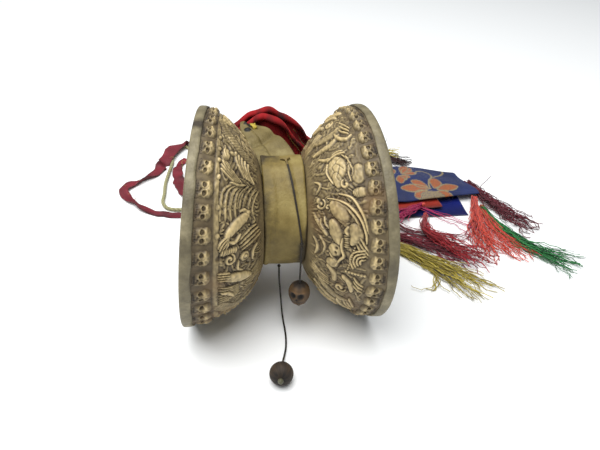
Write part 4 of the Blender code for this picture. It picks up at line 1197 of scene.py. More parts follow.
PRONGS = [[(2.0, 2.6, 0.9), (-0.5, 2.2, 1.5), (-2.6, 0.5, 1.3), (-3.0, -1.0, 0.8)],
          [(2.0, 2.6, 0.9), (-0.5, 2.6, 1.6), (-2.4, 3.9, 1.4), (-4.4, 5.2, 1.0)],
          [(6.5, 3.1, 0.8), (2.5, 2.8, 1.1), (-0.8, 2.4, 1.2)]]
PRONG_RADII = [0.5, 0.7, 0.8, 0.8, 0.8, 0.8, 0.8, 0.75, 0.75, 0.7, 0.7, 0.65, 0.6, 0.5]
prongs = [smooth_route([on_lap(*place) for place in prong], 14, per_mm=False) for prong in PRONGS]
toggle = tube_mesh("lacing_toggle", prongs, np.array(PRONG_RADII) * MM, 10, TOGGLE,
                   [0.6, 0.7, 0.3])
stand_for(toggle, "belt_knot")
print("cords", [round(path_length(line) * 1000, 1) for line in (olive_line, front_line,
                                                                skull_line, lace_line)], "mm")

# %% [markdown]
# ## Beads
# One striker bead is a plain turned wooden ball. The other is a little carved skull with two deep
# sockets, painted dark in its sockets as the shade in them and darker on its crown as the drum's
# shadow on it. Both are bored along the cord, with a wax stopper at the bottom.

# %% Bead finishes and shapes
BEAD_WOOD = carved_bone("stained_carved_bead", "#0b0705", "#302417", "#564026", "#876540", 0.58)
STOPPER_WAX = thread_finish("grey_green_wax", "#4c4a36", "#84835f", 0.5, 0.0)


def bead(name, node, along_low, along_high, radius, shaper):
    """A closed bored bead on its cord; shaper gives radius and wear from height and angle."""
    axis = along_high - along_low
    length = np.linalg.norm(axis)
    axis = axis / length
    side = unit(np.cross(axis, [0.0, 1.0, 0.0] if abs(axis[1]) < 0.9 else [1.0, 0.0, 0.0]))
    over = np.cross(axis, side)
    bore, rows, columns = 1.05 * MM, 56, 72
    lift, angle = np.meshgrid(np.sin(np.linspace(-1, 1, rows) * math.pi / 2),
                              np.linspace(0, 2 * math.pi, columns, endpoint=False), indexing="ij")
    reach, wear = shaper(lift, angle)
    reach = np.pad(np.maximum(radius * reach, bore * 1.3), ((0, 2), (0, 0)), constant_values=bore)
    height = np.concatenate([lift, lift[-1:], lift[:1]]) * length / 2
    wear = np.concatenate([wear, wear[-1:] * 0.3, wear[:1] * 0.3])
    angle = np.concatenate([angle, angle[:2]])
    points = (along_low + along_high) / 2 + height[..., None] * axis + reach[..., None] * (
        np.cos(angle)[..., None] * side + np.sin(angle)[..., None] * over)
    obj = face_out(mesh_object(name, points, grid_faces(rows + 2, columns, True, True), BEAD_WOOD,
                               values={"wear": np.clip(wear, 0, 1)}))
    stand_for(obj, node, node)


def plain_bead(lift, angle):
    grain = 0.05 * np.sin(angle * 9 + 4 * lift) + 0.04 * np.sin(angle * 23 + 3 * lift)
    return np.sqrt(np.clip(1 - lift ** 2, 0, 1)) ** 0.9, 0.28 + grain - 0.25 * np.abs(lift) ** 6


def skull_bead_shape(lift, angle):
    """A little skull: fuller crown, two sockets and a nose on the side facing the striker's front.
    The sockets, nose and mouth are painted dark as shade, the crown dark as the drum's shadow.
    """
    face = (angle - FACE_TURN + math.pi) % (2 * math.pi) - math.pi
    round_part = np.sqrt(np.clip(1 - lift ** 2, 0, 1)) ** np.where(lift < 0, 0.3, 0.8)
    jaw = 1 - 0.10 * ease((-lift - 0.15) / 0.6)
    sockets = sum(np.exp(-((((face - way * 0.42) / 0.29) ** 2 + ((lift - 0.16) / 0.25) ** 2) ** 2))
                  for way in (-1, 1))
    nose = np.exp(-(((face / 0.11) ** 2 + ((lift + 0.22) / 0.13) ** 2) ** 2))
    brow = np.exp(-((lift - 0.48) / 0.09) ** 2) * np.exp(-(face / 0.95) ** 4)
    mouth = np.exp(-((lift + 0.52) / 0.05) ** 2) * np.exp(-(face / 0.6) ** 4)
    teeth = mouth * (0.5 + 0.5 * np.cos(face * 24))
    reach = round_part * jaw * (1 - 0.20 * sockets - 0.09 * nose + 0.035 * brow - 0.04 * mouth)
    # Painted shade: sockets, nose and mouth go dark as the shade in them, and the last term but one
    # darkens the crown as the shadow of the drum above.
    wear = 0.50 - 0.75 * sockets - 0.5 * nose + 0.15 * brow - 0.3 * mouth - 0.15 * teeth
    return reach, wear - 0.40 * ease((lift - 0.72) / 0.3) - 0.06 * np.sin(face * 7)


ground = np.array(GROUND)
bead("turned_front_bead", "front_bead", ground + bead_bottom * MM,
     ground + (route_end + bead_axis * BEAD_GAP) * MM, 7.9 * MM, plain_bead)
FACE_TURN = math.radians(68)
bead_low, bead_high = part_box("skull_bead")
middle = (bead_low + bead_high) / 2
bead("carved_skull_bead", "skull_bead", np.array([*middle.xy, bead_low.z]),
     np.array([*middle.xy, bead_high.z]), 7.5 * MM, skull_bead_shape)
print("beads done")

# %% [markdown]
# ## The small parts whose frame shape is right
# The hidden dowel, its washers and pins, the gasket, the hitches and the stoppers keep the frame's own
# shape, and only get a finish: turned hardwood with grain along its length, leather, and wax.

# %% Turned hardwood
HARDWOOD, tree, shader, place, _ = finish("turned_rosewood", Roughness=0.5, IOR=1.5)
squeezed = add(tree, "ShaderNodeMapping", {"Vector": place, "Scale": (0.12, 1.0, 1.0)})
grain = add(tree, "ShaderNodeTexNoise", {"Vector": squeezed, "Scale": 900.0, "Detail": 4.0})
tone = add(tree, "ShaderNodeValToRGB", {0: grain}, ((0.0, "#3a2114"), (1.0, "#8a5a36")))
feed(shader, {"Base Color": tone})
KEPT = ((HARDWOOD, "joining_dowel", "left_dowel_washer", "right_dowel_washer", "left_dowel_pin",
         "right_dowel_pin"), (BELT_LEATHER, "neck_gasket"), (TOGGLE, "skull_bead_stopper"),
        (STRIKER_THREAD, "front_cord_hitch", "skull_cord_hitch"),
        (STOPPER_WAX, "front_bead_stopper"))
for leather_or_wood, *nodes in KEPT:
    for node in nodes:
        for material_slot in bpy.data.objects[node].material_slots:
            material_slot.material = leather_or_wood
        print(node, "keeps its shape")


# %% [markdown]
# ## Velvet
# Two leaves of red velvet stand behind the waist, folded lengthwise so that their top edge is a soft
# roll, with a thin gilt piping sewn along the cut ends. Velvet is bright where its pile is seen
# edge-on and nearly black in the folds. The sheen layer of the shader gives part of this; the rest is
# painted: a painted highlight on the ridges and painted shade in the folds and on the lower part.

# %% Cloth finishes
RED_VELVET = thread_finish("red_silk_velvet", "#160204", "#920b12", 0.9, 0.5, 0.35, "#ff3a32",
                           nap=1600.0)
GILT_PIPING = thread_finish("gilt_thread_piping", "#5e4318", "#c9a35e", 0.45, 0.1)
CRIMSON_SILK = thread_finish("faded_crimson_silk", "#34050e", "#84202f", 0.6, 0.3, 0.35,
                             "#e08080", 900.0)
LINING_SILK = thread_finish("orange_red_lining", "#4a0a04", "#b8301c", 0.6, 0.3, 0.35, "#ff9070",
                            1400.0)
NAVY_SILK = thread_finish("navy_silk_satin", "#02030f", "#141f6c", 0.4, 0.3, 0.35, "#5060c0",
                          1400.0)
YELLOW_SILK = thread_finish("yellow_silk_tie", "#7a6414", "#d9c24a", 0.5, 0.3, 0.35, "#fff0a0",
                            1400.0)


# %% The velvet leaves
ROLL_FROM, ROLL_RADIUS, VELVET_THICK = 0.62, 2.6 * MM, 2.0 * MM


def velvet_leaf(name, node, route, widths, across_stops, seed, dips):
    """A leaf on edge whose upper part rolls over towards the front. dips are its folds.
    Its shade is painted: lighter on ridges, darker in folds and on its lower part.
    """
    rows, columns = 150, 44
    centre = smooth_route(route, rows) + np.array(GROUND)
    across, width = unit(interpolated(across_stops, rows)), interpolated(widths, rows)
    normal = unit(np.cross(unit(np.gradient(centre, axis=0)), across))
    share, along = np.linspace(-1, 1, columns)[None, :], np.linspace(0, 1, rows)[:, None]
    over = np.clip((share - ROLL_FROM) / (1 - ROLL_FROM), 0, 1) * math.pi * 1.15
    rise = np.minimum(share, ROLL_FROM) * width[:, None] / 2 + ROLL_RADIUS * np.sin(over) + 3.6 * MM
    lean = np.sign(normal[:, 1].mean()) * ROLL_RADIUS * (1 - np.cos(over))
    ripple = sum(size * np.exp(-((along - where) / spread) ** 2) for where, spread, size in dips)
    ripple = ripple + 0.6 * smooth_noise(rows, columns, (9, 9), seed)
    waves = 0.5 * smooth_noise(rows, columns, (4, 12), seed + 1)
    out = (0.55 * ripple * (1 - share) + waves) * MM - lean
    points = centre[:, None] + across[:, None] * rise[..., None] + normal[:, None] * out[..., None]
    points[..., 2] += 0.9 * MM * ripple * np.clip(share, 0, 1)
    # Painted light and shade: lighter where the cloth stands above its neighbours, darker in the folds,
    # and darker again on the leaf's lower part.
    near = blur(points[..., 2], (6, 5), (False, False))
    shade = 0.55 + 90 * (points[..., 2] - near) + 0.22 * smooth_noise(rows, columns, (3, 5), seed)
    shade = np.clip(shade - 0.35 * np.clip(-share - 0.2, 0, 1), 0, 1)
    leaf = strip(name, centre, across, width, VELVET_THICK, columns, RED_VELVET, {"shade": shade},
                 placed=points)
    stand_for(leaf, node)
    return points


VELVET_INNER = [(-26, 67, 91), (-19, 65, 99), (-9, 63, 105), (3, 62, 102.5), (13, 63, 90),
                (20, 66, 77), (26, 71, 68)]
VELVET_OUTER = [(-38, 77, 86), (-28, 76, 94), (-16, 76, 100), (-3, 76, 104), (9, 77, 99.5),
                (21, 80, 86), (33, 90, 68), (44, 101, 54)]
inner = velvet_leaf("velvet_inner_leaf", "velvet_inner", VELVET_INNER,
                    [0.026, 0.028, 0.026], [(0, 0.16, 0.98), (0, 0.2, 0.98), (-0.2, 0.4, 0.9)], 41,
                    ((0.18, 0.07, -1.6), (0.33, 0.06, 1.3), (0.62, 0.08, -1.2), (0.8, 0.06, 1.2)))
outer = velvet_leaf("velvet_outer_leaf", "velvet_outer", VELVET_OUTER,
                    [0.028, 0.030, 0.031, 0.031],
                    [(0, 0.1, 0.98), (0, 0.15, 0.98), (-0.05, 0.2, 0.97), (-0.25, 0.5, 0.8)], 43,
                    ((0.16, 0.05, -1.8), (0.27, 0.05, 1.4), (0.43, 0.05, 1.9), (0.53, 0.05, -2.2),
                     (0.66, 0.05, 1.4), (0.78, 0.05, -1.5)))


# %% Gilt piping along the velvet's edges
def piping(name, lines, radius):
    lines = [smooth_route(line, 60, per_mm=False) for line in lines]
    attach(tube_mesh(name, lines, radius, 8, GILT_PIPING, [0.35, 0.65] * len(lines)), "drum")


proud = np.array([0.0, -1.3 * MM, 0.5 * MM])
piping("velvet_piping", [inner[2, 6:43:6] + proud, inner[96:150:9, 36] + proud,
                         outer[100:150:9, 30] + proud], 0.5 * MM)

# %% [markdown]
# ## Ribbons
# A faded crimson silk ribbon hangs from the tie as a wrist loop. It was thrown down on the left, where
# it twists over, narrows and frays. The yellow tie is a bit of silk pulled through the tab.

# %% Ribbons and the tie
NARROWEST_SHEET = 0.0101


def ribbon(name, node, route, widths, thickness, rows, silk, twist, seed, across=None):
    """A soft strip along a route that lies flat, turned about its own line where twist says so."""
    columns, centre = 13, even_route(route, rows)
    ahead = unit(np.gradient(centre, axis=0))
    across = unit(np.cross([0, 0, 1.0], ahead) if across is None else np.tile(across, (rows, 1)))
    normal = unit(np.cross(ahead, across))
    share = np.linspace(0, 1, rows)
    turn = sum(size * np.exp(-((share - where) / spread) ** 2) for where, spread, size in twist)
    turn = (turn + 0.10 * smooth_noise(rows, 1, (4, 0), seed)[:, 0])[:, None]
    across = unit(across * np.cos(turn) + normal * np.sin(turn))
    width = interpolated(widths, rows) * (1 + 0.06 * smooth_noise(rows, 1, (3, 0), seed + 3)[:, 0])
    t = np.linspace(-1, 1, columns)[None, :]
    cup = 0.05 * width[:, None] * (t ** 2) * smooth_noise(rows, 1, (6, 0), seed + 5)
    cup = cup + 0.25 * MM * smooth_noise(rows, columns, (2, 3), seed + 6)
    points = (centre[:, None] + across[:, None] * (t * width[:, None] / 2)[..., None]
              + normal[:, None] * cup[..., None])
    points[..., 2] = np.maximum(points[..., 2], thickness * 0.55 + 0.02 * MM)
    # Painted shade where the ribbon turns on edge, and darker along both edges.
    shade = 0.62 + 0.16 * smooth_noise(rows, columns, (5, 3), seed + 7) - 0.3 * np.abs(t) ** 10
    shade = np.clip(shade - 0.35 * np.abs(np.sin(turn)), 0, 1)
    obj = strip(name, centre, across, width, thickness, columns, silk, {"shade": shade},
                placed=points)
    stand_for(obj, node)
    widest, area = float(width.max()), obj["flat_area"]
    if widest <= NARROWEST_SHEET:
        area = min(area, NARROWEST_SHEET * obj["flat_length"])
    return points


RIBBON_ROUTE = [(-28, 84, 104), (-30, 94, 80), (-34, 108, 48), (-39, 128, 16), (-43, 145, 4),
                (-47, 166, 1.0), (-50, 195, 0.8), (-52, 225, 1.6), (-62, 246, 4.8),
                (-78, 247, 4.8), (-89, 233, 4.8), (-94, 218, 4.6), (-103, 194, 1.4),
                (-114, 178, 1.0), (-126, 168, 1.4), (-133, 157, 2.8), (-129, 145, 1.2),
                (-120, 133, 0.8), (-108, 121.5, 0.8), (-95, 114, 0.8), (-80, 111.5, 0.8),
                (-62, 112, 0.8)]
RIBBON_END_ROUTE = [(-76, 218, 0.9), (-80, 210, 0.9), (-84, 198, 0.9), (-83, 180, 0.9),
                    (-79, 160, 0.9), (-73, 142, 0.9)]
wrist = ribbon("wrist_silk_ribbon", "wrist_ribbon", RIBBON_ROUTE,
               [0.008, 0.010, 0.010, 0.0125, 0.0145, 0.0105, 0.0085, 0.0065], 0.7 * MM, 360,
               CRIMSON_SILK, ((0.545, 0.012, 1.0), (0.66, 0.008, -1.1), (0.735, 0.02, 0.9),
                              (0.86, 0.02, -0.8), (0.93, 0.012, 1.0)), 61)
end = ribbon("ribbon_silk_end", "ribbon_end", RIBBON_END_ROUTE, [0.006, 0.0095, 0.0115, 0.0085],
             0.7 * MM, 90, CRIMSON_SILK, ((0.22, 0.04, 0.8), (0.55, 0.08, 0.5)), 71)

# %% Frayed gilt threads on the ribbons' edges, and the tie
rng = np.random.default_rng(77)
frays = []
for line, places in ((wrist, (205, 226, 240, 262, 278, 292, 300, 308)), (end, (10, 18, 24, 30))):
    for place in places:
        start = line[place, rng.choice([0, -1])]
        heading = unit(rng.normal(size=3) * [1, 1, 0.15])
        length = rng.uniform(2.5, 6.5) * MM
        lift = np.array([0, 0, rng.uniform(0.1, 0.5) * MM])
        stray = unit(rng.normal(size=3)) * [1, 1, 0.0] * length * 0.3
        fray = start + np.stack([0 * heading, heading * length * 0.5 + lift,
                                 heading * length + lift * 0.5 + stray])
        fray[:, 2] = np.maximum(fray[:, 2], 0.4 * MM)
        frays.append(fray)
piping("ribbon_frays", frays, 0.2 * MM)
slot_x, slot_degrees, slot_rise = TAB_ROUTE[6]
slot = round_waist(slot_degrees, NECK_RADIUS + LEATHER / 2 + slot_rise, slot_x)
TIE = [(0.5, 0.4, -4.6), (0.1, 0.0, -1.6), (-0.2, 0.2, 1.6), (-1.6, 3.2, 3.4), (-3.4, 8.0, 2.6),
       (-4.6, 10.8, -1.0), (-4.4, 10.4, -5.6), (-2.5, 6.5, -9.6)]
ribbon("yellow_tie", "tail_tie", (slot - np.array(GROUND)) / MM + 0.6 * np.array(TIE),
       [0.0036, 0.0034], 0.8 * MM, 60, YELLOW_SILK, ((0.5, 0.1, 0.3),), 81, (0.93, 0.36, 0.0))

# %% [markdown]
# ## The brocade banner
# The banner is a flat silk bag: a top leaf of blue brocade woven with an orange lotus and scrolls, a
# red lining and a navy leaf below. The woven figures are drawn as shapes on a half-millimetre grid of
# the leaf itself, which is how a loom draws them, and each point carries how orange or beige it is.

# %% Woven figures
def petal(u, v, root, tip, width, sharp=1.0):
    """Signed share of a petal: over 0 inside, about 0 at its outline."""
    root, tip = np.array(root, float), np.array(tip, float)
    axis = tip - root
    length = np.linalg.norm(axis)
    axis = axis / length
    s = ((u - root[0]) * axis[0] + (v - root[1]) * axis[1]) / length
    away = np.abs(-(u - root[0]) * axis[1] + (v - root[1]) * axis[0])
    half = width / 2 * np.sin(math.pi * np.clip(s, 0, 1) ** sharp) ** 0.8
    return np.where((s > 0) & (s < 1), half - away, -np.minimum(np.abs(s - 0.5) * length, 9))


def near_route(u, v, points):
    path = smooth_route([(*point, 0) for point in points], 12 * len(points), per_mm=False)
    return to_path(u, v, path[:, 0], path[:, 1])[0]


def brocade_figures(u, v):
    """Shares of orange and beige silk at places on the leaf, in millimetres."""
    orange, beige = np.zeros_like(u), np.zeros_like(u)
    lotus = [((128, -20), (99, -19), 8.5), ((126, -20), (112, -9.5), 9), ((131, -20), (139, -3), 11),
             ((133, -21), (156, -12.5), 8.5), ((124, -23), (110, -28), 7), ((131, -24), (146, -27), 7)]
    rose = [((108, 6), (122, 22), 9.5), ((108, 6), (119, 30), 9), ((106, 4), (113, -4), 8),
            ((104, 4), (102, -13), 8), ((108, 6), (124, 8), 8), ((100, 8), (100, 24), 8)]
    for root, tip, width in lotus + rose:
        inside = petal(u, v, root, tip, width, 1.25)
        outline = (inside > -0.75) & (inside <= 0.5)
        orange = np.where(outline, 0.0, np.where(inside > 0.5, 1.0, orange))
        beige = np.where(outline, 1.0, beige)
    heart = np.hypot((u - 127) / 11.5, (v + 27.5) / 4.6) < 1
    beige, orange = np.where(heart, 0.85, beige), np.where(heart, 0.12, orange)
    for line in ([(127, -19), (128, -14), (131, -8), (135, -2), (138, 4), (137.5, 10), (133, 14),
                  (127, 13), (122.5, 8), (122, 5)],
                 [(136, -1), (142, 3), (149, 8), (156, 15), (158, 21), (154, 25), (146, 26)],
                 [(107, 3), (111, 0), (108, -8)], [(60, -8), (70, 4), (82, 2), (90, -8)]):
        beige = np.maximum(beige, 1.0 * (near_route(u, v, line) < 0.85))
    for centre in ((48, 10), (76, 16)):
        ring = np.hypot(u - centre[0], v - centre[1])
        orange = np.where(ring < 6, 1.0, orange)
        beige = np.where((ring >= 6) & (ring < 7), 1.0, beige)
    return orange, np.clip(beige, 0, 1)


# %% Brocade finish: blue satin ground with two kinds of figure silk over it
BROCADE, tree, shader, place, uv = finish("blue_figured_brocade", Roughness=0.5, Sheen_Weight=0.08,
                                          IOR=1.45)
cloud = add(tree, "ShaderNodeTexNoise", {"Vector": place, "Scale": 45.0, "Detail": 4.0})
ground = add(tree, "ShaderNodeMix", {0: cloud, 6: "#050a28", 7: "#112869"}, data_type="RGBA")
fleck = add(tree, "ShaderNodeTexNoise", {"Vector": uv, "Scale": 1300.0})
broken = add(tree, "ShaderNodeMapRange", {0: fleck, 1: 0.30, 2: 0.52})
for figure, silk in (("orange", "#a05a24"), ("beige", "#8f7f58")):
    share = add(tree, "ShaderNodeAttribute", attribute_name=figure).outputs["Fac"]
    ground = add(tree, "ShaderNodeMix", {0: ("MULTIPLY", share, broken), 6: ground.outputs[2],
                                         7: silk}, data_type="RGBA")
weave = add(tree, "ShaderNodeTexWave", {"Vector": uv, "Scale": 650.0, "Distortion": 0.5},
            bands_direction="DIAGONAL").outputs["Fac"]
bump = add(tree, "ShaderNodeBump", {"Height": weave, "Strength": 0.35, "Distance": 0.0003})
feed(shader, {"Base Color": ground.outputs[2], "Normal": bump})


# %% The three leaves of the banner
def leaf(name, node, route, widths, across_stops, thickness, rows, columns, silk, shape, seed,
         figures=None, rests=("floor",)):
    """A wide flat leaf; shape gives its (y, z) displacement from length along and share across."""
    centre = smooth_route(route, rows) + np.array(GROUND)
    across, width = unit(interpolated(across_stops, rows)), interpolated(widths, rows)
    s, t = np.linspace(0, 1, rows)[:, None], np.linspace(-1, 1, columns)[None, :]
    sideways, along = t * width[:, None] / 2, run_along(centre)
    points = centre[:, None] + across[:, None] * sideways[..., None]
    for axis, moved in zip((1, 2), shape(s * along[-1] / MM, t)):
        points[..., axis] += moved * MM
    points[..., 2] += 0.35 * MM * smooth_noise(rows, columns, (rows / 14, columns / 9), seed)
    points[..., 2] = np.maximum(points[..., 2], thickness * 0.6)
    values = {"shade": np.clip(0.6 + 0.15 * smooth_noise(rows, columns, (8, 6), seed + 1)
                               - 0.25 * np.abs(t) ** 12, 0, 1)}
    if figures:
        values["orange"], values["beige"] = figures(along[:, None] / MM + 0 * t, sideways / MM)
    obj = strip(name, centre, across, width, thickness, columns, silk, values, placed=points)
    stand_for(obj, node)
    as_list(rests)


def brocade_shape(u, t):
    """The bag's front edge hangs over and its far end sags."""
    drop = np.exp(-((u - 112) / 38) ** 2) * np.clip((-t - 0.25) / 0.75, 0, 1) ** 1.6
    belly = 2.2 * np.exp(-((u - 120) / 45) ** 2) * (1 - t ** 2)
    tuck = -1.6 * np.clip(np.abs(t) - 0.86, 0, 1) / 0.14
    return -4.5 * drop, -5.5 * drop + belly + tuck


def gentle(u, t):
    return 0, 0.5 * np.sin(u / 14 + 2 * t) + 0.5


def level(u, t):
    return 0, 0


BROCADE_ROUTE = [(50, 112, 50), (66, 124, 33), (84, 134, 20), (104, 141, 13.5),
                 (127, 146, 11.5), (150, 148, 11), (175, 146, 9.5), (202, 142, 8)]
leaf("brocade_leaf", "brocade_banner", BROCADE_ROUTE,
     [0.036, 0.050, 0.062, 0.064, 0.056, 0.042],
     [(-0.3, 0.65, 0.7), (-0.2, 0.9, 0.25), (0, 0.99, -0.1), (0, 0.99, -0.12),
      (-0.1, 0.98, -0.1), (-0.3, 0.95, -0.05)], 1.1 * MM, 300, 110, BROCADE,
     brocade_shape, 91, brocade_figures, ("red_lining", "navy_leaf"))
leaf("lining_leaf", "red_lining", [(88, 130, 5), (105, 131, 4.6), (125, 132, 4.4), (146, 132, 4.3),
                                   (166, 131, 4.2)], [0.050, 0.056, 0.052], [(0, 1, 0), (0, 1, 0)],
     0.9 * MM, 60, 40, LINING_SILK, gentle, 93, rests=("navy_leaf",))
leaf("navy_silk_leaf", "navy_leaf", [(70, 116, 1.4), (90, 122, 1.2), (115, 127, 1.0),
                                     (140, 128, 1.0), (165, 128, 1.0), (189, 128, 1.0)],
     [0.050, 0.062, 0.066, 0.066, 0.064], [(0, 1, 0), (0, 1, 0)], 0.9 * MM, 80, 44, NAVY_SILK,
     level, 95)
print("banner done")

# %% [markdown]
# ## Tassels and fringes
# The tassels are bundles of loose silk thread, tied at the head, that fan out over the table and curl
# at their ends. One node tree makes them all: it copies a guide line once for each thread, moves each
# copy sideways and up more and more towards its tip, lets it wander, trims it to its own length, and
# sweeps a thin round over it. The sizes are the tree's inputs, so each tassel only gives numbers.

# %% The thread bundle tree
def bundle_tree(silk, settings):
    """Threads along a guide curve. Sizes are inputs; the look of each thread comes from its seed."""
    tree, given = open_tree("thread_bundle_" + silk.name, settings)

    def store(geometry, name, value, kind, domain):
        return add(tree, "GeometryNodeStoreNamedAttribute", {"Geometry": geometry, "Name": name,
                                                             "Value": value}, data_type=kind,
                   domain=domain)

    fine = add(tree, "GeometryNodeResampleCurve", {"Curve": given["Geometry"], "Count": 34})
    tangent = add(tree, "GeometryNodeInputTangent")
    square = add(tree, "ShaderNodeVectorMath", {0: tangent, 1: (0.0, 0.0, 1.0)},
                 operation="CROSS_PRODUCT")
    side = add(tree, "ShaderNodeVectorMath", {0: square}, operation="NORMALIZE")
    share = add(tree, "GeometryNodeSplineParameter").outputs["Factor"]
    held = store(fine, "side", side, "FLOAT_VECTOR", "POINT")
    held = store(held, "along", share, "FLOAT", "POINT")
    copies = add(tree, "GeometryNodeDuplicateElements", {"Geometry": held,
                                                         "Amount": given["Threads"]},
                 domain="SPLINE")
    held = store(copies, "thread", copies.outputs["Duplicate Index"], "FLOAT", "CURVE")
    thread, along, side = (add(tree, "GeometryNodeInputNamedAttribute", {"Name": name},
                               data_type=kind)
                           for name, kind in (("thread", "FLOAT"), ("along", "FLOAT"),
                                              ("side", "FLOAT_VECTOR")))
    number = add(tree, "ShaderNodeMath", {0: given["Seed"], 1: 101.0, 2: thread},
                 operation="MULTIPLY_ADD")

    def chance(low, high, step):
        """A number between low and high that each thread keeps along its length."""
        noise = add(tree, "ShaderNodeTexWhiteNoise", {"W": ("ADD", number, step)},
                    noise_dimensions="1D").outputs["Value"]
        return add(tree, "ShaderNodeMapRange", {0: noise, 3: low, 4: high})

    def drift(across, stretch, height, scale, detail):
        """A slow noise along each thread, about nought."""
        spot = add(tree, "ShaderNodeCombineXYZ", {"X": ("MULTIPLY", number, across),
                                                  "Y": ("MULTIPLY", along, stretch), "Z": height})
        noise = add(tree, "ShaderNodeTexNoise", {"Vector": spot, "Scale": scale,
                                                 "Detail": detail})
        return ("SUBTRACT", noise, 0.5)

    spread = ("MULTIPLY_ADD", ("POWER", along, 1.3),
              ("SUBTRACT", given["Tip width"], given["Head width"]), given["Head width"])
    lane = ("MULTIPLY", ("ADD", chance(-0.5, 0.5, 0.11), chance(-0.5, 0.5, 0.23)), 0.62)
    bend = ("MULTIPLY", ("MULTIPLY", ("POWER", along, 3.0), chance(-1.0, 1.0, 0.37)),
            given["Curl"])
    swing = ("MULTIPLY", ("MULTIPLY", drift(3.7, 3.2, 0.5, 1.6, 3.0), given["Wander"]),
             ("POWER", along, 0.6))
    move = add(tree, "ShaderNodeVectorMath", {
        0: side, "Scale": ("ADD", ("ADD", ("MULTIPLY", lane, spread), bend), swing)},
        operation="SCALE")
    lift = add(tree, "ShaderNodeCombineXYZ", {
        "Z": ("MULTIPLY", given["Rise"], ("ADD", chance(-0.5, 0.7, 0.71),
                                          drift(5.3, 4.0, 7.5, 1.5, 1.5)))})
    offset = add(tree, "ShaderNodeVectorMath", {0: move, 1: lift}, operation="ADD")
    moved = add(tree, "GeometryNodeSetPosition", {"Geometry": held, "Offset": offset})
    place = add(tree, "GeometryNodeInputPosition")
    x, y, z = add(tree, "ShaderNodeSeparateXYZ", {0: place}).outputs
    floor_gap = ("MULTIPLY", given["Thickness"], chance(1.35, 3.8, 0.53))
    up = add(tree, "ShaderNodeCombineXYZ", {0: x, 1: y, 2: ("MAXIMUM", z, floor_gap)})
    laid = add(tree, "GeometryNodeSetPosition", {"Geometry": moved, "Position": up})
    length = add(tree, "ShaderNodeMapRange", {0: ("POWER", chance(0, 1, 0.91), 0.7),
                                              3: given["Shortest"], 4: 1.0})
    cut = add(tree, "GeometryNodeTrimCurve", {"Curve": laid, "End": length})
    shade = store(cut, "shade", chance(0.1, 0.95, 0.67), "FLOAT", "POINT")
    sized = add(tree, "GeometryNodeSetCurveRadius", {"Curve": shade,
                                                     "Radius": chance(0.75, 1.3, 0.31)})
    section = add(tree, "GeometryNodeCurvePrimitiveCircle", {"Resolution": 4,
                                                             "Radius": given["Thickness"]})
    swept = add(tree, "GeometryNodeCurveToMesh", {"Curve": sized, "Profile Curve": section,
                                                  "Fill Caps": True})
    if "Scale" in swept.inputs:
        feed(swept, {"Scale": add(tree, "GeometryNodeInputRadius")})
    smooth = add(tree, "GeometryNodeSetShadeSmooth", {"Geometry": swept})
    real = add(tree, "GeometryNodeRealizeInstances", {"Geometry": smooth})
    coat = add(tree, "GeometryNodeSetMaterial", {"Geometry": real, "Material": silk})
    add(tree, "NodeGroupOutput", {0: coat})
    return tree


BUNDLE_TREES = {}


def bundle(name, route, silk, threads, seed, head_width, tip_width, rise, wander, curl,
           shortest=0.7, thickness=0.34):
    """A bundle of threads along a route in millimetres; every other length is millimetres too."""
    settings = {"Threads": threads, "Seed": seed, "Head width": head_width * MM,
                "Tip width": tip_width * MM, "Rise": rise * MM, "Wander": wander * MM,
                "Curl": curl * MM, "Shortest": shortest, "Thickness": thickness * MM}
    if silk.name not in BUNDLE_TREES:
        BUNDLE_TREES[silk.name] = bundle_tree(silk, settings)
    guide = link_new(name, open_curve(name, even_route(route, 24)))
    made = plain_mesh(guide, BUNDLE_TREES[silk.name], settings)
    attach(made, "drum")
    return made


# %% Thread colours
MAROON, CORAL, GREEN, RED, MAGENTA, DARK_RED, YELLOW, DARK_FRINGE, GREY_THREAD = (
    thread_finish(name, dark, light, 0.55, 0.25, 0.3) for name, dark, light in (
        ("maroon_silk_thread", "#220410", "#6e1828"),
        ("coral_silk_thread", "#94201c", "#d2503c"),
        ("green_silk_thread", "#07301a", "#237a3a"),
        ("red_silk_thread", "#5a0810", "#b4222c"),
        ("magenta_silk_thread", "#6a0a34", "#c02c62"),
        ("dark_red_silk_thread", "#2c040c", "#861c30"),
        ("yellow_silk_thread", "#6e5e1c", "#c4b24a"),
        ("brown_black_thread", "#150808", "#3c1a18"),
        ("grey_stray_thread", "#4a4440", "#8c8680")))

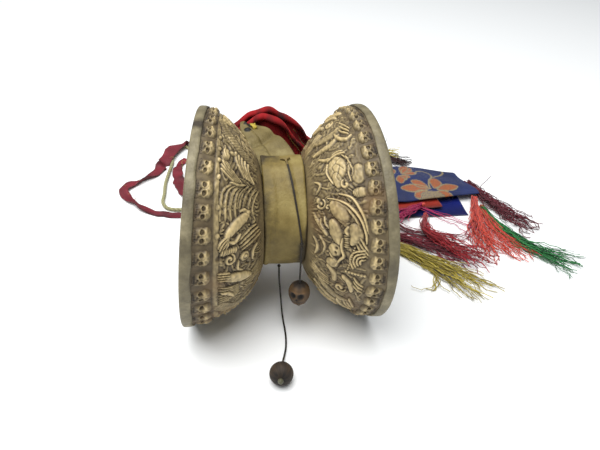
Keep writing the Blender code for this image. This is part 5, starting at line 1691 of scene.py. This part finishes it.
# %% The tassels, each with its strays
TASSELS = [
    ("maroon_fringe", MAROON, [(204, 146, 5.4), (211, 131, 4.6), (220, 112, 3.6), (229, 94, 2.8),
                               (238, 78, 2.4), (246, 62, 2.2)], 66, 12, 24,
     5.0, 44, 16, 0.3),
    ("coral_tassel", CORAL, [(201, 117, 5.2), (196, 99, 4.4), (190, 76, 3.0), (187, 52, 2.5),
                             (188, 20, 2.2)], 64, 5, 34,
     4.5, 32, 18, 0.5),
    ("green_tassel", GREEN, [(204, 104, 3.6), (208, 84, 2.8), (214, 63, 2.3), (224, 43, 2.2),
                             (240, 28, 2.2), (260, 13, 2.2)], 50, 4, 26,
     3.4, 30, 16, 0.6),
    ("red_tassel", RED, [(145, 91, 4.6), (139, 76, 6), (140, 61, 7), (150, 47, 7.2),
                         (164, 31, 6.4), (180, 13, 4.6)], 50, 4, 32,
     4.0, 32, 16, 0.5),
    ("magenta_tassel", MAGENTA, [(146, 106, 8.0), (136, 100, 7.6), (126, 94.5, 7.0),
                                 (114, 88, 5.4)], 36, 2.6, 18, 2.6, 16, 9, 0.7),
    ("dark_red_tassel", DARK_RED, [(84, 82, 3), (100, 71, 2.6), (116, 62, 2.4), (134, 51, 2.3),
                                   (152, 37, 2.3), (172, 19, 2.2)], 52, 7, 34,
     3.6, 32, 16, 0.45),
    ("yellow_tassel", YELLOW, [(82, 68, 3), (98, 56, 2.5), (114, 43, 2.3), (130, 26, 2.3),
                               (147, 6, 2.2), (166, -22, 2.2)], 70, 7, 28,
     3.4, 28, 18, 0.5),
    ("back_fringe", DARK_FRINGE, [(112, 214, 3.0), (126, 208, 2.6), (142, 201, 2.4),
                                  (160, 191, 2.4)], 70, 9, 18,
     5.0, 24, 12, 0.4),
]
for number, (node, silk, route, threads, *sizes) in enumerate(TASSELS):
    made = bundle(node + "_threads", route, silk, threads, 3 + number, *sizes)
    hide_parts(node)
    print(made.name, len(made.data.polygons), "faces")

# %% Loose threads and smaller bundles that lie between the tassels
STRAYS = [
    ("back_fringe_root", DARK_FRINGE, [(98, 174, 10), (101, 188, 7), (106, 202, 5), (116, 212, 4.4)], 26,
     5, 5, 1),
    ("yellow_back_strays", YELLOW, [(114, 216, 6.4), (132, 211, 7.2), (152, 205, 7.0)], 30, 7, 18, 10),
    ("magenta_loops", MAGENTA, [(143, 104, 6), (160, 92, 3), (174, 80, 2), (186, 66, 1.6),
                                (196, 50, 1.4)], 5, 3, 16, 14),
    ("maroon_loops", DARK_RED, [(112, 92, 3), (122, 76, 2), (140, 66, 1.8), (160, 60, 1.5),
                                (178, 48, 1.4)], 16, 8, 30, 20),
    ("red_cross_strays", RED, [(206, 108, 4), (190, 88, 2), (178, 66, 1.6), (170, 50, 1.4)], 8, 3,
     24, 16),
    ("green_low_strays", GREEN, [(214, 74, 2), (226, 48, 1.6), (236, 22, 1.4), (240, -2, 1.3)], 12,
     4, 12, 8),
    ("coral_low_strays", CORAL, [(204, 100, 4), (204, 70, 3), (212, 44, 2), (222, 24, 1.6)], 40, 6,
     24, 10),
    ("dark_yellow_strays", GREY_THREAD, [(100, 58, 3), (118, 44, 2.5), (136, 24, 2),
                                         (156, -12, 1.6)], 14, 6, 30, 12),
    ("yellow_curl", YELLOW, [(112, 46, 2), (124, 26, 1.6), (130, 8, 1.4), (124, -4, 1.3),
                             (112, -6, 1.3), (104, -2, 1.3)], 7, 1.5, 2.0, 1.5),
]
for number, (name, silk, route, threads, head_width, tip_width, curl) in enumerate(STRAYS):
    bundle(name, route, silk, threads, 40 + number, head_width, tip_width, 1.6, 22, curl, 0.55, 0.3)
for name, route, radius, silk in (
        ("stray_thread_up", [(212, 130, 5), (217, 139, 6), (225, 146, 7), (233, 154.5, 7)], 0.34,
         MAROON),
        ("stray_thread_back", [(120, 217, 4), (133, 226, 6), (143, 236, 7), (146, 244, 7)], 0.25,
         GREY_THREAD)):
    line = even_route(route, 30)
    line[:, 2] = np.maximum(line[:, 2], radius * MM * 1.3)
    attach(tube_mesh(name, [line], radius * MM, 6, silk, [0.45]), "drum")

# %% The bound heads of the tassels
heads = []
for (x, y, z), heading in (((201, 116.5, 5.6), (-0.2, -1, -0.1)), ((145, 92, 5.4), (-0.2, -1, 0.1)),
                           ((146, 105, 8.4), (-1, -0.4, 0)), ((204.5, 103.5, 4.4), (0.2, -1, -0.1))):
    aim = unit(np.array(heading, float))
    side = unit(np.cross(aim, [0, 0, 1.0]))
    over = np.cross(side, aim)
    t = np.linspace(0, 1, 130)[:, None]
    spin = t * 2 * math.pi * 7
    heads.append((np.array([x, y, z]) + aim * (t * 3.2 - 1.4)
                  + 1.55 * (np.cos(spin) * side + np.sin(spin) * over)) * MM + np.array(GROUND))
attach(tube_mesh("tassel_bindings", heads, 0.3 * MM, 6, CORAL, [0.7, 0.3, 0.5, 0.2]), "drum")
print("tassels done")
